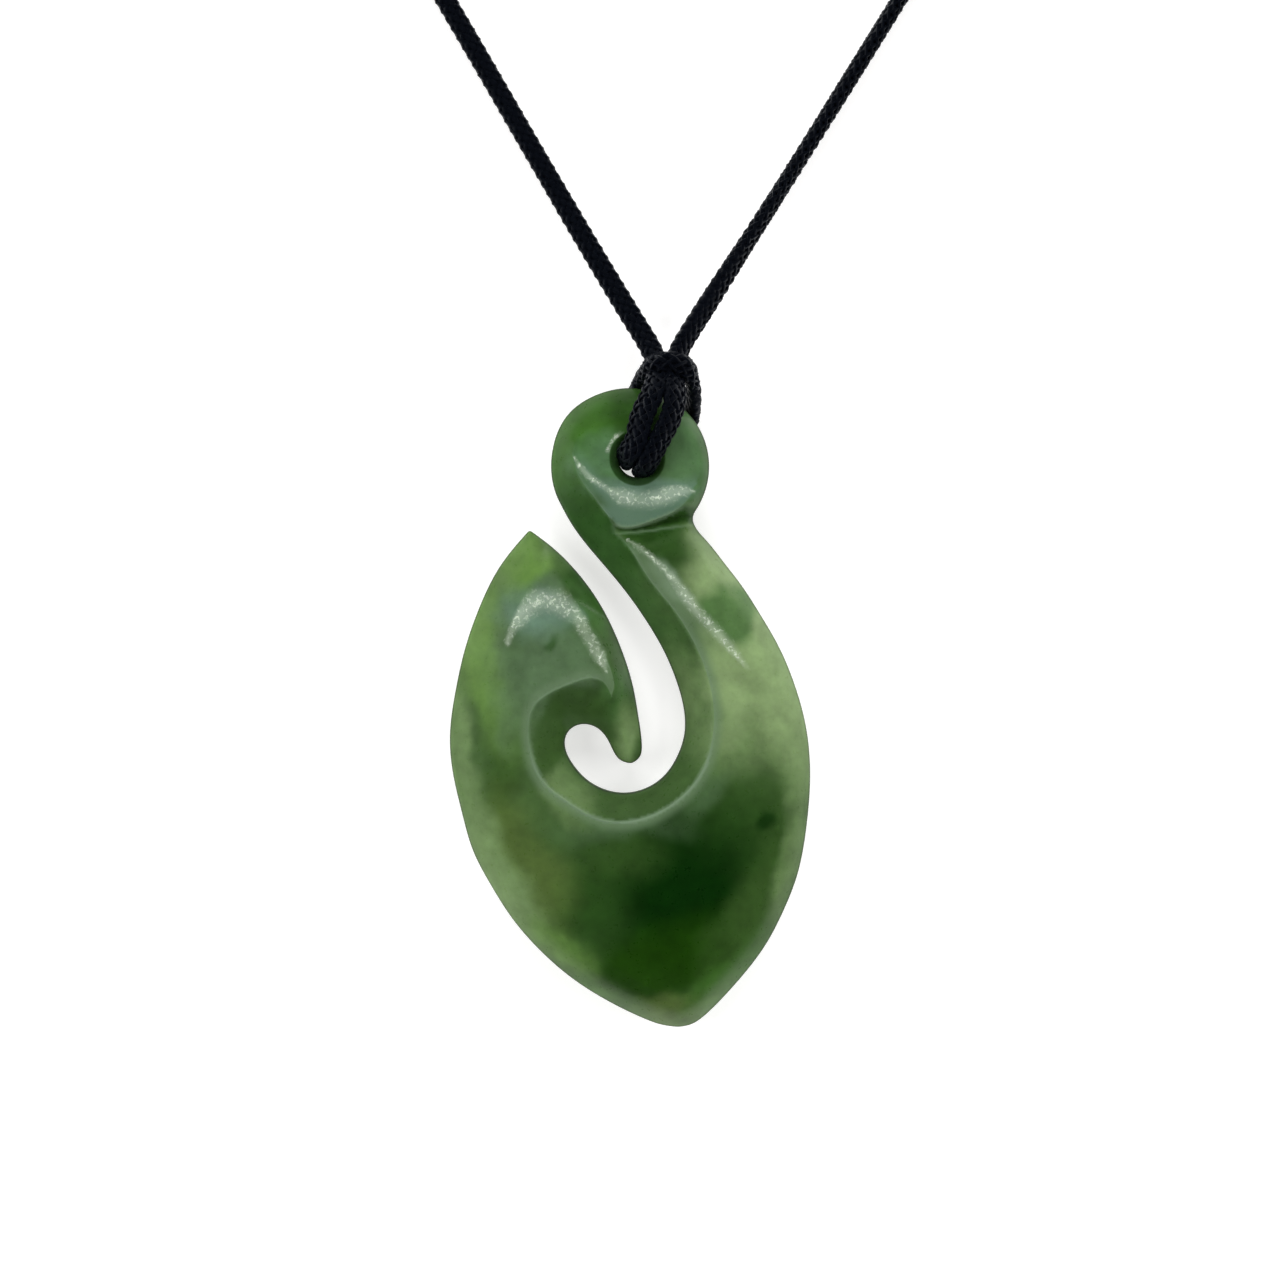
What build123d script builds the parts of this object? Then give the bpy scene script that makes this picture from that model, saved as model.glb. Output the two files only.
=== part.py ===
from build123d import *
import math
import os

# A greenstone fish hook pendant hitched on a closed loop of black braided cord, lying flat.
# Millimetres. X runs to the right of the hook, Y up towards its head, Z out of its carved front.
# The origin is the middle of the stone's flat back.

# Stone
stone_height = 50.0
stone_width = 28.2
stone_thickness = 5.0
back_edge_height = 0.8         # height of the chamfer round the back
side_wall_height = 2.2         # where the side wall ends and the front bevels begin
back_inset_share = 0.2         # of a bevel's width, how far the back's chamfer reaches in
crown_radius_across = 62.0     # the front is crowned like a shallow barrel
crown_radius_along = 480.0
crown_peak_share = -0.1        # of the height, where the crown is highest
neck_share = 0.753             # of the drawn height, what lies under the head

# Head of the hook, and the hole that the cord goes through
head_diameter = 12.35
head_rim_width = 1.35          # bevel round the head
head_start_angle = -36.0       # where the head's round outline leaves the notch
head_end_angle = 203.0         # where it runs into the stem
hole_offset = (0.57, 0.57)     # from the middle of the head
hole_clearance = 0.27          # round two strands of cord side by side
countersink_radius = 2.11
countersink_depth = 1.5
back_countersink_depth = 0.9

# The head's back is thinned, so that the cord behind it fits over what the stone lies on
relief_clearance = 0.3
relief_start_share = 0.06      # of the height, where the back begins to rise
relief_end_share = 0.26

# Groove that parts the head from the shank, and the flat that slopes down to it
groove_start = (-1.3, -5.2)    # from the middle of the head
groove_end = (6.4, -4.2)
groove_width = 1.1
groove_depth = 0.8
head_flat_width = 2.7
head_flat_drop = 0.45

# Flat on the shank, along the bevel of the stem, fading out downwards
shank_flat_start = (-0.9, -5.3)    # from the middle of the head
shank_flat_end = (32.5, 6.2)       # percentages of the drawn hook
shank_flat_width = 3.6
shank_flat_drop = 0.75

# Cord
cord_diameter = 1.3
strand_gap = 0.06              # between strands that lie side by side
surface_gap = 0.06             # between a strand and the front of the head
leg_height = 2.9               # of the legs where the collar of the hitch holds them
collar_lift = 0.85             # of the collar over the legs, beyond a cord's diameter
bend_share = 0.45              # of the shorter run beside a bend, what the bend takes up
split_share = 0.41             # where the hitch ends on the way down from collar to surface

# Closing knot at the far side of the loop
knot_diameter = 4.4
knot_length = 9.0
knot_edge = 0.9
knot_turn = -3.5               # degrees, how the knot lies in the loop
knot_run = 11.0                # straight cord before the knot

# Routes of the cord in plan, from the middle of the hole
LEFT_LEG = (1.45, 7.8)
LEFT_LANDING = (-5.86, 20.34)
LEFT_LOOP = [(-14.6, 35.5), (-31.6, 64.3), (-51.1, 108.2), (-58.9, 152.5), (-53.1, 194.1),
             (-38.6, 222.6), (-26.1, 240.6)]
RIGHT_LEG = (2.87, 7.7)
RIGHT_LANDING = (10.51, 20.03)
RIGHT_LOOP = [(19.8, 34.9), (37.4, 63.5), (57.4, 106.1), (66.0, 150.3), (60.9, 192.0),
              (46.9, 221.6), (34.7, 239.2)]
KNOT_CENTRE = (4.8, 251.3)
LEFT_OVER_HEAD = (1.13, 4.6)
RIGHT_OVER_HEAD = (3.0, 4.6)
THROUGH_HOLE_Y = -0.25
LEFT_RISE = (-0.1, 6.8)
COLLAR_LEFT = (-0.12, 7.6)
COLLAR_RIGHT = (4.42, 7.6)
RIGHT_FALL = (4.45, 4.6)
RIGHT_BEHIND = (3.73, 2.5)

# The outline, and the foot of the flat front inside it, as percentages of the drawn hook's width
# (x) and height (y) from its middle. Each row: outline x, outline y, front x, front y.
STEM_AND_BOWL = [
    (-16.1, 28.6, -8.6, 31.2),
    (-8.8, 23.3, -1.9, 26.1),
    (-1.7, 18.5, 4.7, 20.6),
    (4.7, 13.4, 11.7, 15.6),
    (9.7, 8.5, 17.8, 10.1),
    (13.1, 3.8, 21.4, 5.1),
    (15.0, -0.4, 23.1, 0.2),
    (15.1, -4.2, 22.5, -5.4),
    (13.1, -7.7, 19.4, -10.3),
    (9.7, -10.6, 14.7, -13.5),
    (4.7, -12.6, 6.9, -16.4),
    (-1.7, -13.4, -1.7, -17.6),
    (-7.4, -12.8, -10.0, -16.8),
    (-12.3, -11.2, -17.5, -14.3),
    (-15.8, -9.0, -23.3, -11.7),
    (-18.1, -6.2, -26.9, -7.3),
    (-17.8, -4.4, -27.7, -3.3),
    (-15.6, -3.0, -26.3, 0.3),
    (-12.3, -2.6, -21.6, 2.5),
    (-9.4, -3.1, -15.8, 3.9),
    (-6.9, -4.4, -11.0, 4.7),
    (-5.0, -6.4, -7.6, 4.3),
    (-2.8, -8.2, -6.0, 3.2),
    (0.4, -8.8, -5.0, 1.9),
]
BARB_AND_LOBE = [
    (0.4, -8.8, -5.0, 1.9),
    (2.8, -7.7, -4.2, 3.2),
    (3.3, -5.8, -4.4, 4.6),
    (2.5, -2.0, -5.2, 6.2),
    (0.8, 3.4, -6.8, 8.4),
    (-2.5, 9.3, -9.4, 11.2),
    (-7.4, 15.3, -13.2, 14.5),
    (-13.8, 20.6, -17.3, 17.9),
    (-21.6, 25.1, -20.6, 20.7),
    (-27.9, 27.5, -22.8, 22.2),
]
LEFT_SIDE = [
    (-27.9, 27.5, -22.8, 22.2),
    (-35.8, 21.7, -28.3, 17.3),
    (-41.4, 15.7, -32.6, 12.4),
    (-45.6, 9.0, -35.5, 7.2),
    (-48.2, 2.7, -37.1, 1.4),
    (-50.0, -5.1, -38.9, -5.2),
    (-48.8, -11.3, -39.2, -11.5),
    (-46.4, -17.0, -38.0, -16.6),
    (-43.4, -22.1, -35.6, -20.9),
    (-38.6, -27.4, -31.1, -25.3),
    (-32.0, -33.1, -25.2, -30.2),
    (-25.1, -37.4, -19.0, -34.2),
    (-16.2, -41.6, -11.4, -38.1),
    (-4.4, -45.8, -0.6, -42.4),
    (3.9, -48.3, 6.3, -44.5),
    (9.4, -49.6, 10.8, -45.4),
    (13.4, -50.0, 13.9, -45.7),
]
RIGHT_SIDE = [
    (13.4, -50.0, 13.9, -45.7),
    (16.9, -49.6, 16.4, -45.3),
    (20.6, -48.0, 18.9, -44.1),
    (26.7, -44.4, 23.3, -41.3),
    (32.2, -40.9, 28.3, -38.0),
    (37.8, -36.7, 33.3, -34.2),
    (42.5, -31.9, 37.5, -29.9),
    (46.1, -26.8, 40.6, -25.3),
    (49.0, -18.5, 43.3, -17.9),
    (50.0, -10.4, 44.1, -10.4),
    (48.6, -2.3, 42.4, -3.0),
    (45.8, 3.4, 39.6, 2.1),
    (41.5, 9.3, 35.6, 7.3),
    (35.8, 14.9, 30.3, 12.6),
    (31.1, 19.0, 25.8, 16.6),
    (25.8, 22.9, 20.7, 20.4),
    (21.1, 26.2, 16.4, 23.7),
    (18.2, 28.1, 13.6, 26.5),
    (17.4, 29.3, 12.4, 29.6),
]

cord_radius = cord_diameter / 2
head_radius = head_diameter / 2
head_centre = Vector(0, stone_height / 2 - head_radius)
hole_centre = head_centre + Vector(hole_offset)
hole_radius = cord_diameter + hole_clearance
head_back = cord_diameter + relief_clearance
knot_radius = knot_diameter / 2


def crown_height(point):
    """Height of the crowned front over a point of the plan."""
    from_peak = point.Y - crown_peak_share * stone_height
    across = crown_radius_across - math.sqrt(crown_radius_across**2 - point.X**2)
    along = crown_radius_along - math.sqrt(crown_radius_along**2 - from_peak**2)
    return stone_thickness - across - along


def drawn_point(x_percent, y_percent):
    """A place of the drawn hook. The part under the head takes up a change of height."""
    above_tip = (y_percent / 100 + 0.5) / neck_share * (stone_height - head_diameter)
    return Vector(x_percent / 100 * stone_width, above_tip - stone_height / 2)


def blend_rows(rows, share):
    """Points between the outline (share 0) and the foot of the flat front (share 1)."""
    points = []
    for outer_x, outer_y, inner_x, inner_y in rows:
        outer = drawn_point(outer_x, outer_y)
        inner = drawn_point(inner_x, inner_y)
        points.append(outer + (inner - outer) * share)
    return points


def head_arc(share):
    """Three points of the head's round outline, drawn in by its bevel, from notch to stem."""
    radius = head_radius - head_rim_width * share
    middle_angle = (head_start_angle + head_end_angle) / 2
    points = []
    for degrees in (head_start_angle, middle_angle, head_end_angle):
        angle = math.radians(degrees)
        points.append(head_centre + Vector(math.cos(angle), math.sin(angle)) * radius)
    return points


def stone_wire(share, height):
    """Closed outline of the hook at one height."""
    arc_points = head_arc(share)
    edges = [
        ThreePointArc(*arc_points),
        Spline(arc_points[2], *blend_rows(STEM_AND_BOWL, share)),
        Spline(*blend_rows(BARB_AND_LOBE, share)),
        Spline(*blend_rows(LEFT_SIDE, share)),
        Spline(*blend_rows(RIGHT_SIDE, share), arc_points[0]),
    ]
    return Wire(edges).moved(Location((0, 0, height)))


def bevelled_body():
    """Back chamfer, side wall and front bevels of the hook, one outline over another."""
    sections = [
        stone_wire(back_inset_share, 0),
        stone_wire(0, back_edge_height),
        stone_wire(0, side_wall_height),
        stone_wire(1, stone_thickness),
    ]
    return Solid.make_loft(sections, ruled=True)


def crown():
    """Shallow barrel whose outside is the crowned front."""
    reach = stone_height
    middle = crown_peak_share * stone_height
    end_drop = crown_radius_along - math.sqrt(crown_radius_along**2 - reach**2)
    end_radius = crown_radius_across - end_drop
    low, high = middle - reach, middle + reach
    profile = make_face(
        [
            Line((low, 0), (high, 0)),
            Line((high, 0), (high, end_radius)),
            ThreePointArc((high, end_radius), (middle, crown_radius_across), (low, end_radius)),
            Line((low, end_radius), (low, 0)),
        ]
    )
    barrel = revolve(Plane.YZ * profile, Axis.Y, 360)
    return barrel.moved(Location((0, 0, stone_thickness - crown_radius_across)))


def back_relief():
    """What is thinned away behind the head and the stem."""
    start = relief_start_share * stone_height
    end = relief_end_share * stone_height
    beyond = stone_height
    below = -stone_thickness
    points = [(start, 0), (end, head_back), (beyond, head_back), (beyond, below), (start, below)]
    profile = make_face(Polyline(*points, close=True))
    return extrude(Plane.YZ * profile, stone_width, both=True)


def cord_hole():
    """Through hole, opened out towards the front and a little at the back."""
    front = crown_height(hole_centre)
    slope = (countersink_radius - hole_radius) / countersink_depth
    over = stone_thickness - front
    x, y = hole_centre.X, hole_centre.Y
    bore = Pos(x, y, stone_thickness / 2) * Cylinder(hole_radius, 2 * stone_thickness)
    front_cone = Cone(hole_radius, countersink_radius + slope * over, countersink_depth + over)
    front_cone = Pos(x, y, (front - countersink_depth + stone_thickness) / 2) * front_cone
    back_radius = hole_radius + slope * back_countersink_depth
    back_cone = Cone(back_radius, hole_radius, back_countersink_depth)
    back_cone = Pos(x, y, head_back + back_countersink_depth / 2) * back_cone
    return bore + front_cone + back_cone


def carving_cut(start, end, profile, start_lift, end_lift, run_out):
    """A cut along a line of the plan. The profile is (across, up) from the front's surface."""
    low = Vector(start.X, start.Y, crown_height(start) + start_lift)
    high = Vector(end.X, end.Y, crown_height(end) + end_lift)
    along = (high - low).normalized()
    across = Vector(-along.Y, along.X, 0).normalized()
    plane = Plane(origin=low, x_dir=across, z_dir=along)
    face = plane * make_face(Polyline(*profile, close=True))
    return extrude(face, (high - low).length + run_out)


def head_groove():
    """Groove between head and shank, with the flat that slopes down to it from the hole."""
    profile = [
        (-groove_width / 2, 0),
        (0, -groove_depth),
        (groove_width / 2, -head_flat_drop),
        (groove_width / 2 + head_flat_width, 0),
        (groove_width / 2 + head_flat_width, stone_thickness),
        (-groove_width / 2, stone_thickness),
    ]
    start = head_centre + Vector(groove_start)
    end = head_centre + Vector(groove_end)
    return carving_cut(start, end, profile, 0, 0, head_radius)


def shank_flat():
    """Flat cut along the inner side of the shank, less and less deep downwards."""
    profile = [
        (0, 0),
        (-shank_flat_width, -shank_flat_drop),
        (-shank_flat_width, stone_thickness),
        (0, stone_thickness),
    ]
    start = head_centre + Vector(shank_flat_start)
    end = drawn_point(*shank_flat_end)
    return carving_cut(start, end, profile, 0, shank_flat_drop, 0)


def make_greenstone_hook():
    hook = bevelled_body() & crown()
    return hook - back_relief() - cord_hole() - head_groove() - shank_flat()


def from_hole(point, height):
    """A place on the cord's route."""
    return Vector(hole_centre.X + point[0], hole_centre.Y + point[1], height)


def bend_radii(points):
    """The largest bend that each corner of a route allows."""
    radii = []
    for before, corner, after in zip(points, points[1:], points[2:]):
        turn = (corner - before).get_angle(after - corner)
        shorter = min((corner - before).length, (after - corner).length)
        radii.append(bend_share * shorter / math.tan(math.radians(turn / 2)))
    return radii


def cord_along(name, points):
    """Round cord on straight runs joined by tangent bends."""
    radii = bend_radii(points)
    path = FilletPolyline(*points, radius=radii)
    section = Plane(origin=path @ 0, z_dir=path % 0) * Circle(cord_radius)
    cord = sweep(section, path=path)
    share = cord.volume / (math.pi * cord_radius**2 * path.length)
    runs = [round((b - a).length, 1) for a, b in zip(points, points[1:])]
    print(name, "length", round(path.length, 1), "volume by section", round(share, 4))
    print("  runs", runs, "bends", [round(radius, 1) for radius in radii])
    return cord


def leg_split(leg, landing):
    """Where the cord of the hitch goes over into the loop."""
    return leg + (landing - leg) * split_share


def knot_axis():
    return Vector(math.cos(math.radians(knot_turn)), math.sin(math.radians(knot_turn)))


def make_neck_cord(name, leg, landing, loop, knot_side):
    """One side of the loop, from the hitch round to the closing knot."""
    start = from_hole(leg, leg_height)
    down = from_hole(landing, cord_radius)
    knot_end = from_hole(KNOT_CENTRE, knot_radius) + knot_axis() * knot_side * knot_length / 2
    points = [leg_split(start, down), down]
    points += [from_hole(point, cord_radius) for point in loop]
    points += [knot_end + knot_axis() * knot_side * knot_run, knot_end]
    return cord_along(name, points)


def make_cord_hitch():
    """The folded middle of the cord: over the head, through the hole, up behind it and
    across its own two legs as a collar."""
    over_head = crown_height(hole_centre) + cord_radius + surface_gap
    collar = leg_height + cord_diameter + collar_lift
    half_pitch = (cord_diameter + strand_gap) / 2
    left_hole = (-half_pitch, THROUGH_HOLE_Y)
    right_hole = (half_pitch, THROUGH_HOLE_Y)
    left_leg = from_hole(LEFT_LEG, leg_height)
    right_leg = from_hole(RIGHT_LEG, leg_height)
    points = [
        leg_split(left_leg, from_hole(LEFT_LANDING, cord_radius)),
        left_leg,
        from_hole(LEFT_OVER_HEAD, over_head),
        from_hole(left_hole, over_head),
        from_hole(left_hole, cord_radius),
        from_hole(LEFT_RISE, cord_radius),
        from_hole(COLLAR_LEFT, collar),
        from_hole(COLLAR_RIGHT, collar),
        from_hole(RIGHT_FALL, cord_radius),
        from_hole(RIGHT_BEHIND, cord_radius),
        from_hole(right_hole, cord_radius),
        from_hole(right_hole, over_head),
        from_hole(RIGHT_OVER_HEAD, over_head),
        right_leg,
        leg_split(right_leg, from_hole(RIGHT_LANDING, cord_radius)),
    ]
    return cord_along("cord_hitch", points)


def make_closing_knot():
    """Plain barrel knot that joins the two ends of the cord."""
    barrel = fillet(Cylinder(knot_radius, knot_length).edges(), knot_edge)
    centre = from_hole(KNOT_CENTRE, knot_radius)
    return Plane(origin=centre, z_dir=knot_axis()) * barrel


def main():
    os.makedirs("parts", exist_ok=True)
    parts = {
        "greenstone_hook": make_greenstone_hook(),
        "cord_hitch": make_cord_hitch(),
        "neck_cord_left": make_neck_cord(
            "neck_cord_left", LEFT_LEG, LEFT_LANDING, LEFT_LOOP, -1
        ),
        "neck_cord_right": make_neck_cord(
            "neck_cord_right", RIGHT_LEG, RIGHT_LANDING, RIGHT_LOOP, 1
        ),
        "closing_knot": make_closing_knot(),
    }
    for name, shape in parts.items():
        export_step(shape, f"parts/{name}.step")


main()
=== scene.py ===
import math

import bpy
import numpy as np
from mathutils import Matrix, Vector
from mathutils.geometry import delaunay_2d_cdt
from mathutils.kdtree import KDTree


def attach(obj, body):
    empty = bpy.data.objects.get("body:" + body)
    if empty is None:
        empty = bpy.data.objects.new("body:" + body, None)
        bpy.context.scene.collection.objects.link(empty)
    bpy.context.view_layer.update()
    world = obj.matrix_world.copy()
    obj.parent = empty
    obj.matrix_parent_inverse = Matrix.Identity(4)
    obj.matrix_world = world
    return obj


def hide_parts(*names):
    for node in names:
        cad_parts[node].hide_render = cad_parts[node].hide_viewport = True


# A greenstone fish hook pendant hitched on a closed loop of black braided cord, lying flat.
# Sizes are in millimetres up to the point where a mesh is made. X runs to the right of the hook,
# Y up towards its head, Z out of its carved front, as in the frame.

MM = 0.001
TINY = 1e-6

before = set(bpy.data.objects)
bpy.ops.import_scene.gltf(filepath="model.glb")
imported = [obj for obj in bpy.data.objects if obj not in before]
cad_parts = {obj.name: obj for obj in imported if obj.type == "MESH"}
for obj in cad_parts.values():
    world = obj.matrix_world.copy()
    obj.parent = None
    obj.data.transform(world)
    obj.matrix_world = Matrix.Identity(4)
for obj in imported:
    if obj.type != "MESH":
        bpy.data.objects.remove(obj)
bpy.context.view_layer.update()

# Stone
STONE_HEIGHT = 50.0
STONE_WIDTH = 28.2
STONE_THICKNESS = 5.0
CROWN_RADIUS_ACROSS = 62.0
CROWN_RADIUS_ALONG = 480.0
CROWN_PEAK_Y = -5.0
SIDE_WALL_HEIGHT = 2.2
BACK_EDGE_HEIGHT = 0.8
BACK_INSET = 0.45
EDGE_ROUNDING = 0.22
CORNER_WEAR = 0.5
HEAD_RADIUS = 6.175
HEAD_CENTRE = (0.0, 18.825)
HEAD_ANGLES = (-36.0, 203.0)
HEAD_BULGE = 0.18
HEAD_BULGE_ANGLE = 140.0
HEAD_BULGE_SPREAD = 22.0
HOLE_CENTRE = (0.57, 19.395)
HOLE_RADIUS = 1.47
HOLE_RIM_RADIUS = 2.17
HOLE_THROAT_BOTTOM = 2.5
HOLE_THROAT_TOP = 3.75
HOLE_EDGE_SOFTNESS = 0.07
FRONT_CONE_REACH = 3.2
BACK_CONE_REACH = 2.2
BACK_CONE_SLOPE = 2.8
HEAD_HEIGHT = 4.42
RELIEF_START_Y = 3.0
RELIEF_END_Y = 13.0
RELIEF_HEIGHT = 1.6

# Lip along the inner ridges
LIP_WIDTH = 1.0
LIP_DROP = 0.08
LIP_SOFTNESS = (0.1, 0.35)

# Facets of head and shank, and the groove between them. A pair of values is where a face starts
# and is full, or starts to fade and is gone.
HEAD_FACET_SLOPE = 0.14
HEAD_FACET_START_X = -4.5
HEAD_FACET_END = (5.6, 7.0)
CREST_ROUNDING = 0.3
GROOVE_DEPTH = 0.9
GROOVE_START = (0.1, 1.2)
GROOVE_START_SHARE = 0.35
GROOVE_FULL = (1.0, 5.5)
GROOVE_END_Y = (15.85, 17.2)
SHANK_FACET_SLOPE = 0.22
SHANK_FACET_START = (1.0, 3.0)
SHANK_FACET_END = (10.0, 18.0)
SHANK_FACET_WIDTH = 4.0
SHANK_FACET_REACH = 6.0
HEAD_FRONT_Y = 12.0
SHANK_TOP_Y = 14.0
LOBE_RIDGE_Y = (1.0, 8.5)

# Worn outer sides: how steep at most, how far in they reach, and how round they are
ROLL_SLOPE = 1.15
ROLL_REACH = 1.35
ROLL_POWER = 1.9
ROLL_SOFTNESS = (0.35, 0.85)
NARROWEST_SIDE = 0.3

# How soft the ridge round the front is, from the crisp one by the opening to the worn outer one,
# and how far in from it the front is still soft
SOFT_BY_HEAD = 0.08
SOFT_BY_OPENING = 0.05
SOFT_BY_BARB = 0.3
SOFT_OUTSIDE = 0.9
SOFT_REACH = (0.5, 4.5)

# The outline, and the foot of the flat front inside it, as percentages of the stone's width (x)
# and height (y). Each row: outline x, outline y, front x, front y.
STEM_AND_BOWL = [
    (-16.1, 28.6, -8.6, 31.2),
    (-8.8, 23.3, -1.9, 26.1),
    (-1.7, 18.5, 4.7, 20.6),
    (4.7, 13.4, 11.7, 15.6),
    (9.7, 8.5, 17.8, 10.1),
    (13.1, 3.8, 21.4, 5.1),
    (15.0, -0.4, 23.1, 0.2),
    (15.1, -4.2, 22.5, -5.4),
    (13.1, -7.7, 19.4, -10.3),
    (9.7, -10.6, 14.7, -13.5),
    (4.7, -12.6, 6.9, -16.4),
    (-1.7, -13.4, -1.7, -17.6),
    (-7.4, -12.8, -10.0, -16.8),
    (-12.3, -11.2, -17.5, -14.3),
    (-15.8, -9.0, -23.3, -11.7),
    (-18.1, -6.2, -26.9, -7.3),
    (-17.8, -4.4, -27.7, -3.3),
    (-15.6, -3.0, -26.3, 0.3),
    (-12.3, -2.6, -21.6, 2.5),
    (-9.4, -3.1, -15.8, 3.9),
    (-6.9, -4.4, -11.0, 4.7),
    (-5.0, -6.4, -7.6, 4.3),
    (-2.8, -8.2, -6.0, 3.2),
    (0.4, -8.8, -5.0, 1.9),
]
BARB_AND_LOBE = [
    (0.4, -8.8, -5.0, 1.9),
    (2.8, -7.7, -4.2, 3.2),
    (3.3, -5.8, -4.4, 4.6),
    (2.5, -2.0, -5.2, 6.2),
    (0.8, 3.4, -6.8, 8.4),
    (-2.5, 9.3, -9.4, 11.2),
    (-7.4, 15.3, -13.2, 14.5),
    (-13.8, 20.6, -17.3, 17.9),
    (-21.6, 25.1, -20.6, 20.7),
    (-27.9, 27.8, -22.8, 22.2),
]
LEFT_SIDE = [
    (-27.9, 27.8, -22.8, 22.2),
    (-36.3, 21.9, -28.3, 17.3),
    (-41.7, 15.8, -32.6, 12.4),
    (-45.9, 9.0, -35.5, 7.2),
    (-48.4, 2.7, -37.1, 1.4),
    (-50.0, -5.1, -38.9, -5.2),
    (-48.8, -11.3, -39.2, -11.5),
    (-46.4, -17.0, -38.0, -16.6),
    (-43.7, -22.2, -35.6, -20.9),
    (-38.9, -27.5, -31.1, -25.3),
    (-32.3, -33.3, -25.2, -30.2),
    (-25.5, -37.7, -19.0, -34.2),
    (-16.7, -42.1, -11.4, -38.1),
    (-4.9, -46.3, -0.6, -42.4),
    (3.6, -48.6, 6.3, -44.5),
    (9.3, -49.7, 10.8, -45.4),
    (13.4, -50.0, 13.9, -45.7),
]
RIGHT_SIDE = [
    (13.4, -50.0, 13.9, -45.7),
    (16.9, -49.6, 16.4, -45.3),
    (20.9, -48.1, 18.9, -44.1),
    (27.1, -44.6, 23.3, -41.3),
    (32.5, -41.1, 28.3, -38.0),
    (38.0, -36.8, 33.3, -34.2),
    (42.5, -31.9, 37.5, -29.9),
    (46.1, -26.8, 40.6, -25.3),
    (49.0, -18.5, 43.3, -17.9),
    (50.0, -10.4, 44.1, -10.4),
    (48.6, -2.3, 42.4, -3.0),
    (45.8, 3.4, 39.6, 2.1),
    (41.5, 9.3, 35.6, 7.3),
    (35.8, 14.9, 30.3, 12.6),
    (31.1, 19.0, 25.8, 16.6),
    (25.8, 22.9, 20.7, 20.4),
    (21.1, 26.2, 16.4, 23.7),
    (18.2, 28.1, 13.6, 26.5),
    (17.4, 29.3, 12.4, 29.6),
]

# Lines of the carving as they show in the photograph, in its pixels
PIXELS_PER_MM = 12.78
STONE_MIDDLE_PIXEL = (630.0, 707.5)
HEAD_FACE = [(679, 538), (681, 524), (686, 511), (694, 499), (698.5, 484), (699, 464), (693, 444),
             (680, 427), (661, 416), (640, 412), (619, 415), (600, 422), (586, 432), (577, 443),
             (573.3, 456)]
HEAD_FACE_LEFT = [(573.3, 456), (581, 480), (593, 496), (603, 509.4), (611.5, 521), (616, 534)]
HEAD_CREST = [(535, 415), (573.3, 456), (591.7, 478.7), (608.9, 490.2), (625, 496), (643.3, 500),
              (664, 495), (680, 489), (694, 487), (730, 487)]
FACET_EDGE = [(612, 521), (616.5, 525.5), (621.5, 527.8), (630, 528.2), (641, 525.9), (652, 521.9),
              (666, 516.5), (675, 512), (684.5, 504.8), (690, 497.8), (694, 489)]
GROOVE = [(611, 525), (618.5, 529.6), (630, 530.6), (641, 528.9), (652, 525.4), (666, 520.8),
          (677.5, 518), (687, 517), (697, 518), (712, 520)]
SHANK_EDGE = [(610, 530), (615.7, 534.6), (624, 534.2), (638, 533), (651, 531.6), (666, 529.2),
              (680, 527.4), (692, 526), (712, 525)]
# Lines along which glints are painted as pale highlight specks, each with its width in millimetres
GLINT_LINES = [
    ([(574, 458), (582, 470), (591, 479), (601, 486), (611, 493), (620, 497)], 0.34),
    ([(604, 489), (620, 497), (634, 501), (648, 501), (664, 498), (678, 494), (690, 492)], 0.95),
    ([(656, 497), (668, 493), (680, 492), (694, 493)], 0.6),
    ([(509, 642), (513, 625), (523, 612), (536, 603), (551, 601), (566, 606), (580, 618),
      (588, 630)], 1.3),
    ([(572, 614), (584, 629), (593, 643), (600, 656), (606, 671)], 0.75),
    ([(627, 541), (637, 547), (655, 561), (672, 579)], 0.3),
    ([(662, 568), (674, 581), (690, 603), (704, 619), (719, 635), (736, 655), (746, 668)], 0.62),
    ([(625, 433), (614, 441), (609, 450), (608, 458)], 0.2),
]
SHANK_CREST = [(600, 520), (614, 533), (629, 542), (643, 549), (655, 559), (678, 583), (691, 600),
               (707, 618), (722, 635), (735, 651), (744, 668), (752, 690)]


def from_photo(pixels):
    """Places of the plan from pixels of the photograph."""
    return [((x - STONE_MIDDLE_PIXEL[0]) / PIXELS_PER_MM,
             (STONE_MIDDLE_PIXEL[1] - y) / PIXELS_PER_MM) for x, y in pixels]


def in_plan(x_percent, y_percent):
    """Place of the plan from percentages of the stone's width and height."""
    return x_percent / 100 * STONE_WIDTH, y_percent / 100 * STONE_HEIGHT


def away_from(points, centre):
    """Distance of points to one place of the plan."""
    return np.hypot(points[:, 0] - centre[0], points[:, 1] - centre[1])


def plan_tree(points):
    """Search tree over points of the plan."""
    tree = KDTree(len(points))
    for i, (x, y) in enumerate(points):
        tree.insert((x, y, 0), i)
    tree.balance()
    return tree


def smooth_line(points, spacing):
    """Evenly spaced points on a natural cubic spline through the given ones."""
    knots = np.array(points, dtype=float)
    runs = np.linalg.norm(np.diff(knots, axis=0), axis=1)
    at = np.concatenate([[0], np.cumsum(runs)])
    count = len(knots)
    matrix = np.eye(count)
    right = np.zeros((count, 2))
    for i in range(1, count - 1):
        before, after = runs[i - 1], runs[i]
        matrix[i, i - 1:i + 2] = before, 2 * (before + after), after
        right[i] = 6 * ((knots[i + 1] - knots[i]) / after - (knots[i] - knots[i - 1]) / before)
    bend = np.linalg.solve(matrix, right)
    samples = np.linspace(0, at[-1], int(at[-1] / spacing) + 2)
    i = np.clip(np.searchsorted(at, samples, side="right") - 1, 0, count - 2)
    run = runs[i][:, None]
    low = (at[i + 1] - samples)[:, None]
    high = (samples - at[i])[:, None]
    curved = (bend[i] * low**3 + bend[i + 1] * high**3) / (6 * run)
    start = (knots[i] / run - bend[i] * run / 6) * low
    end = (knots[i + 1] / run - bend[i + 1] * run / 6) * high
    return curved + start + end


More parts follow.
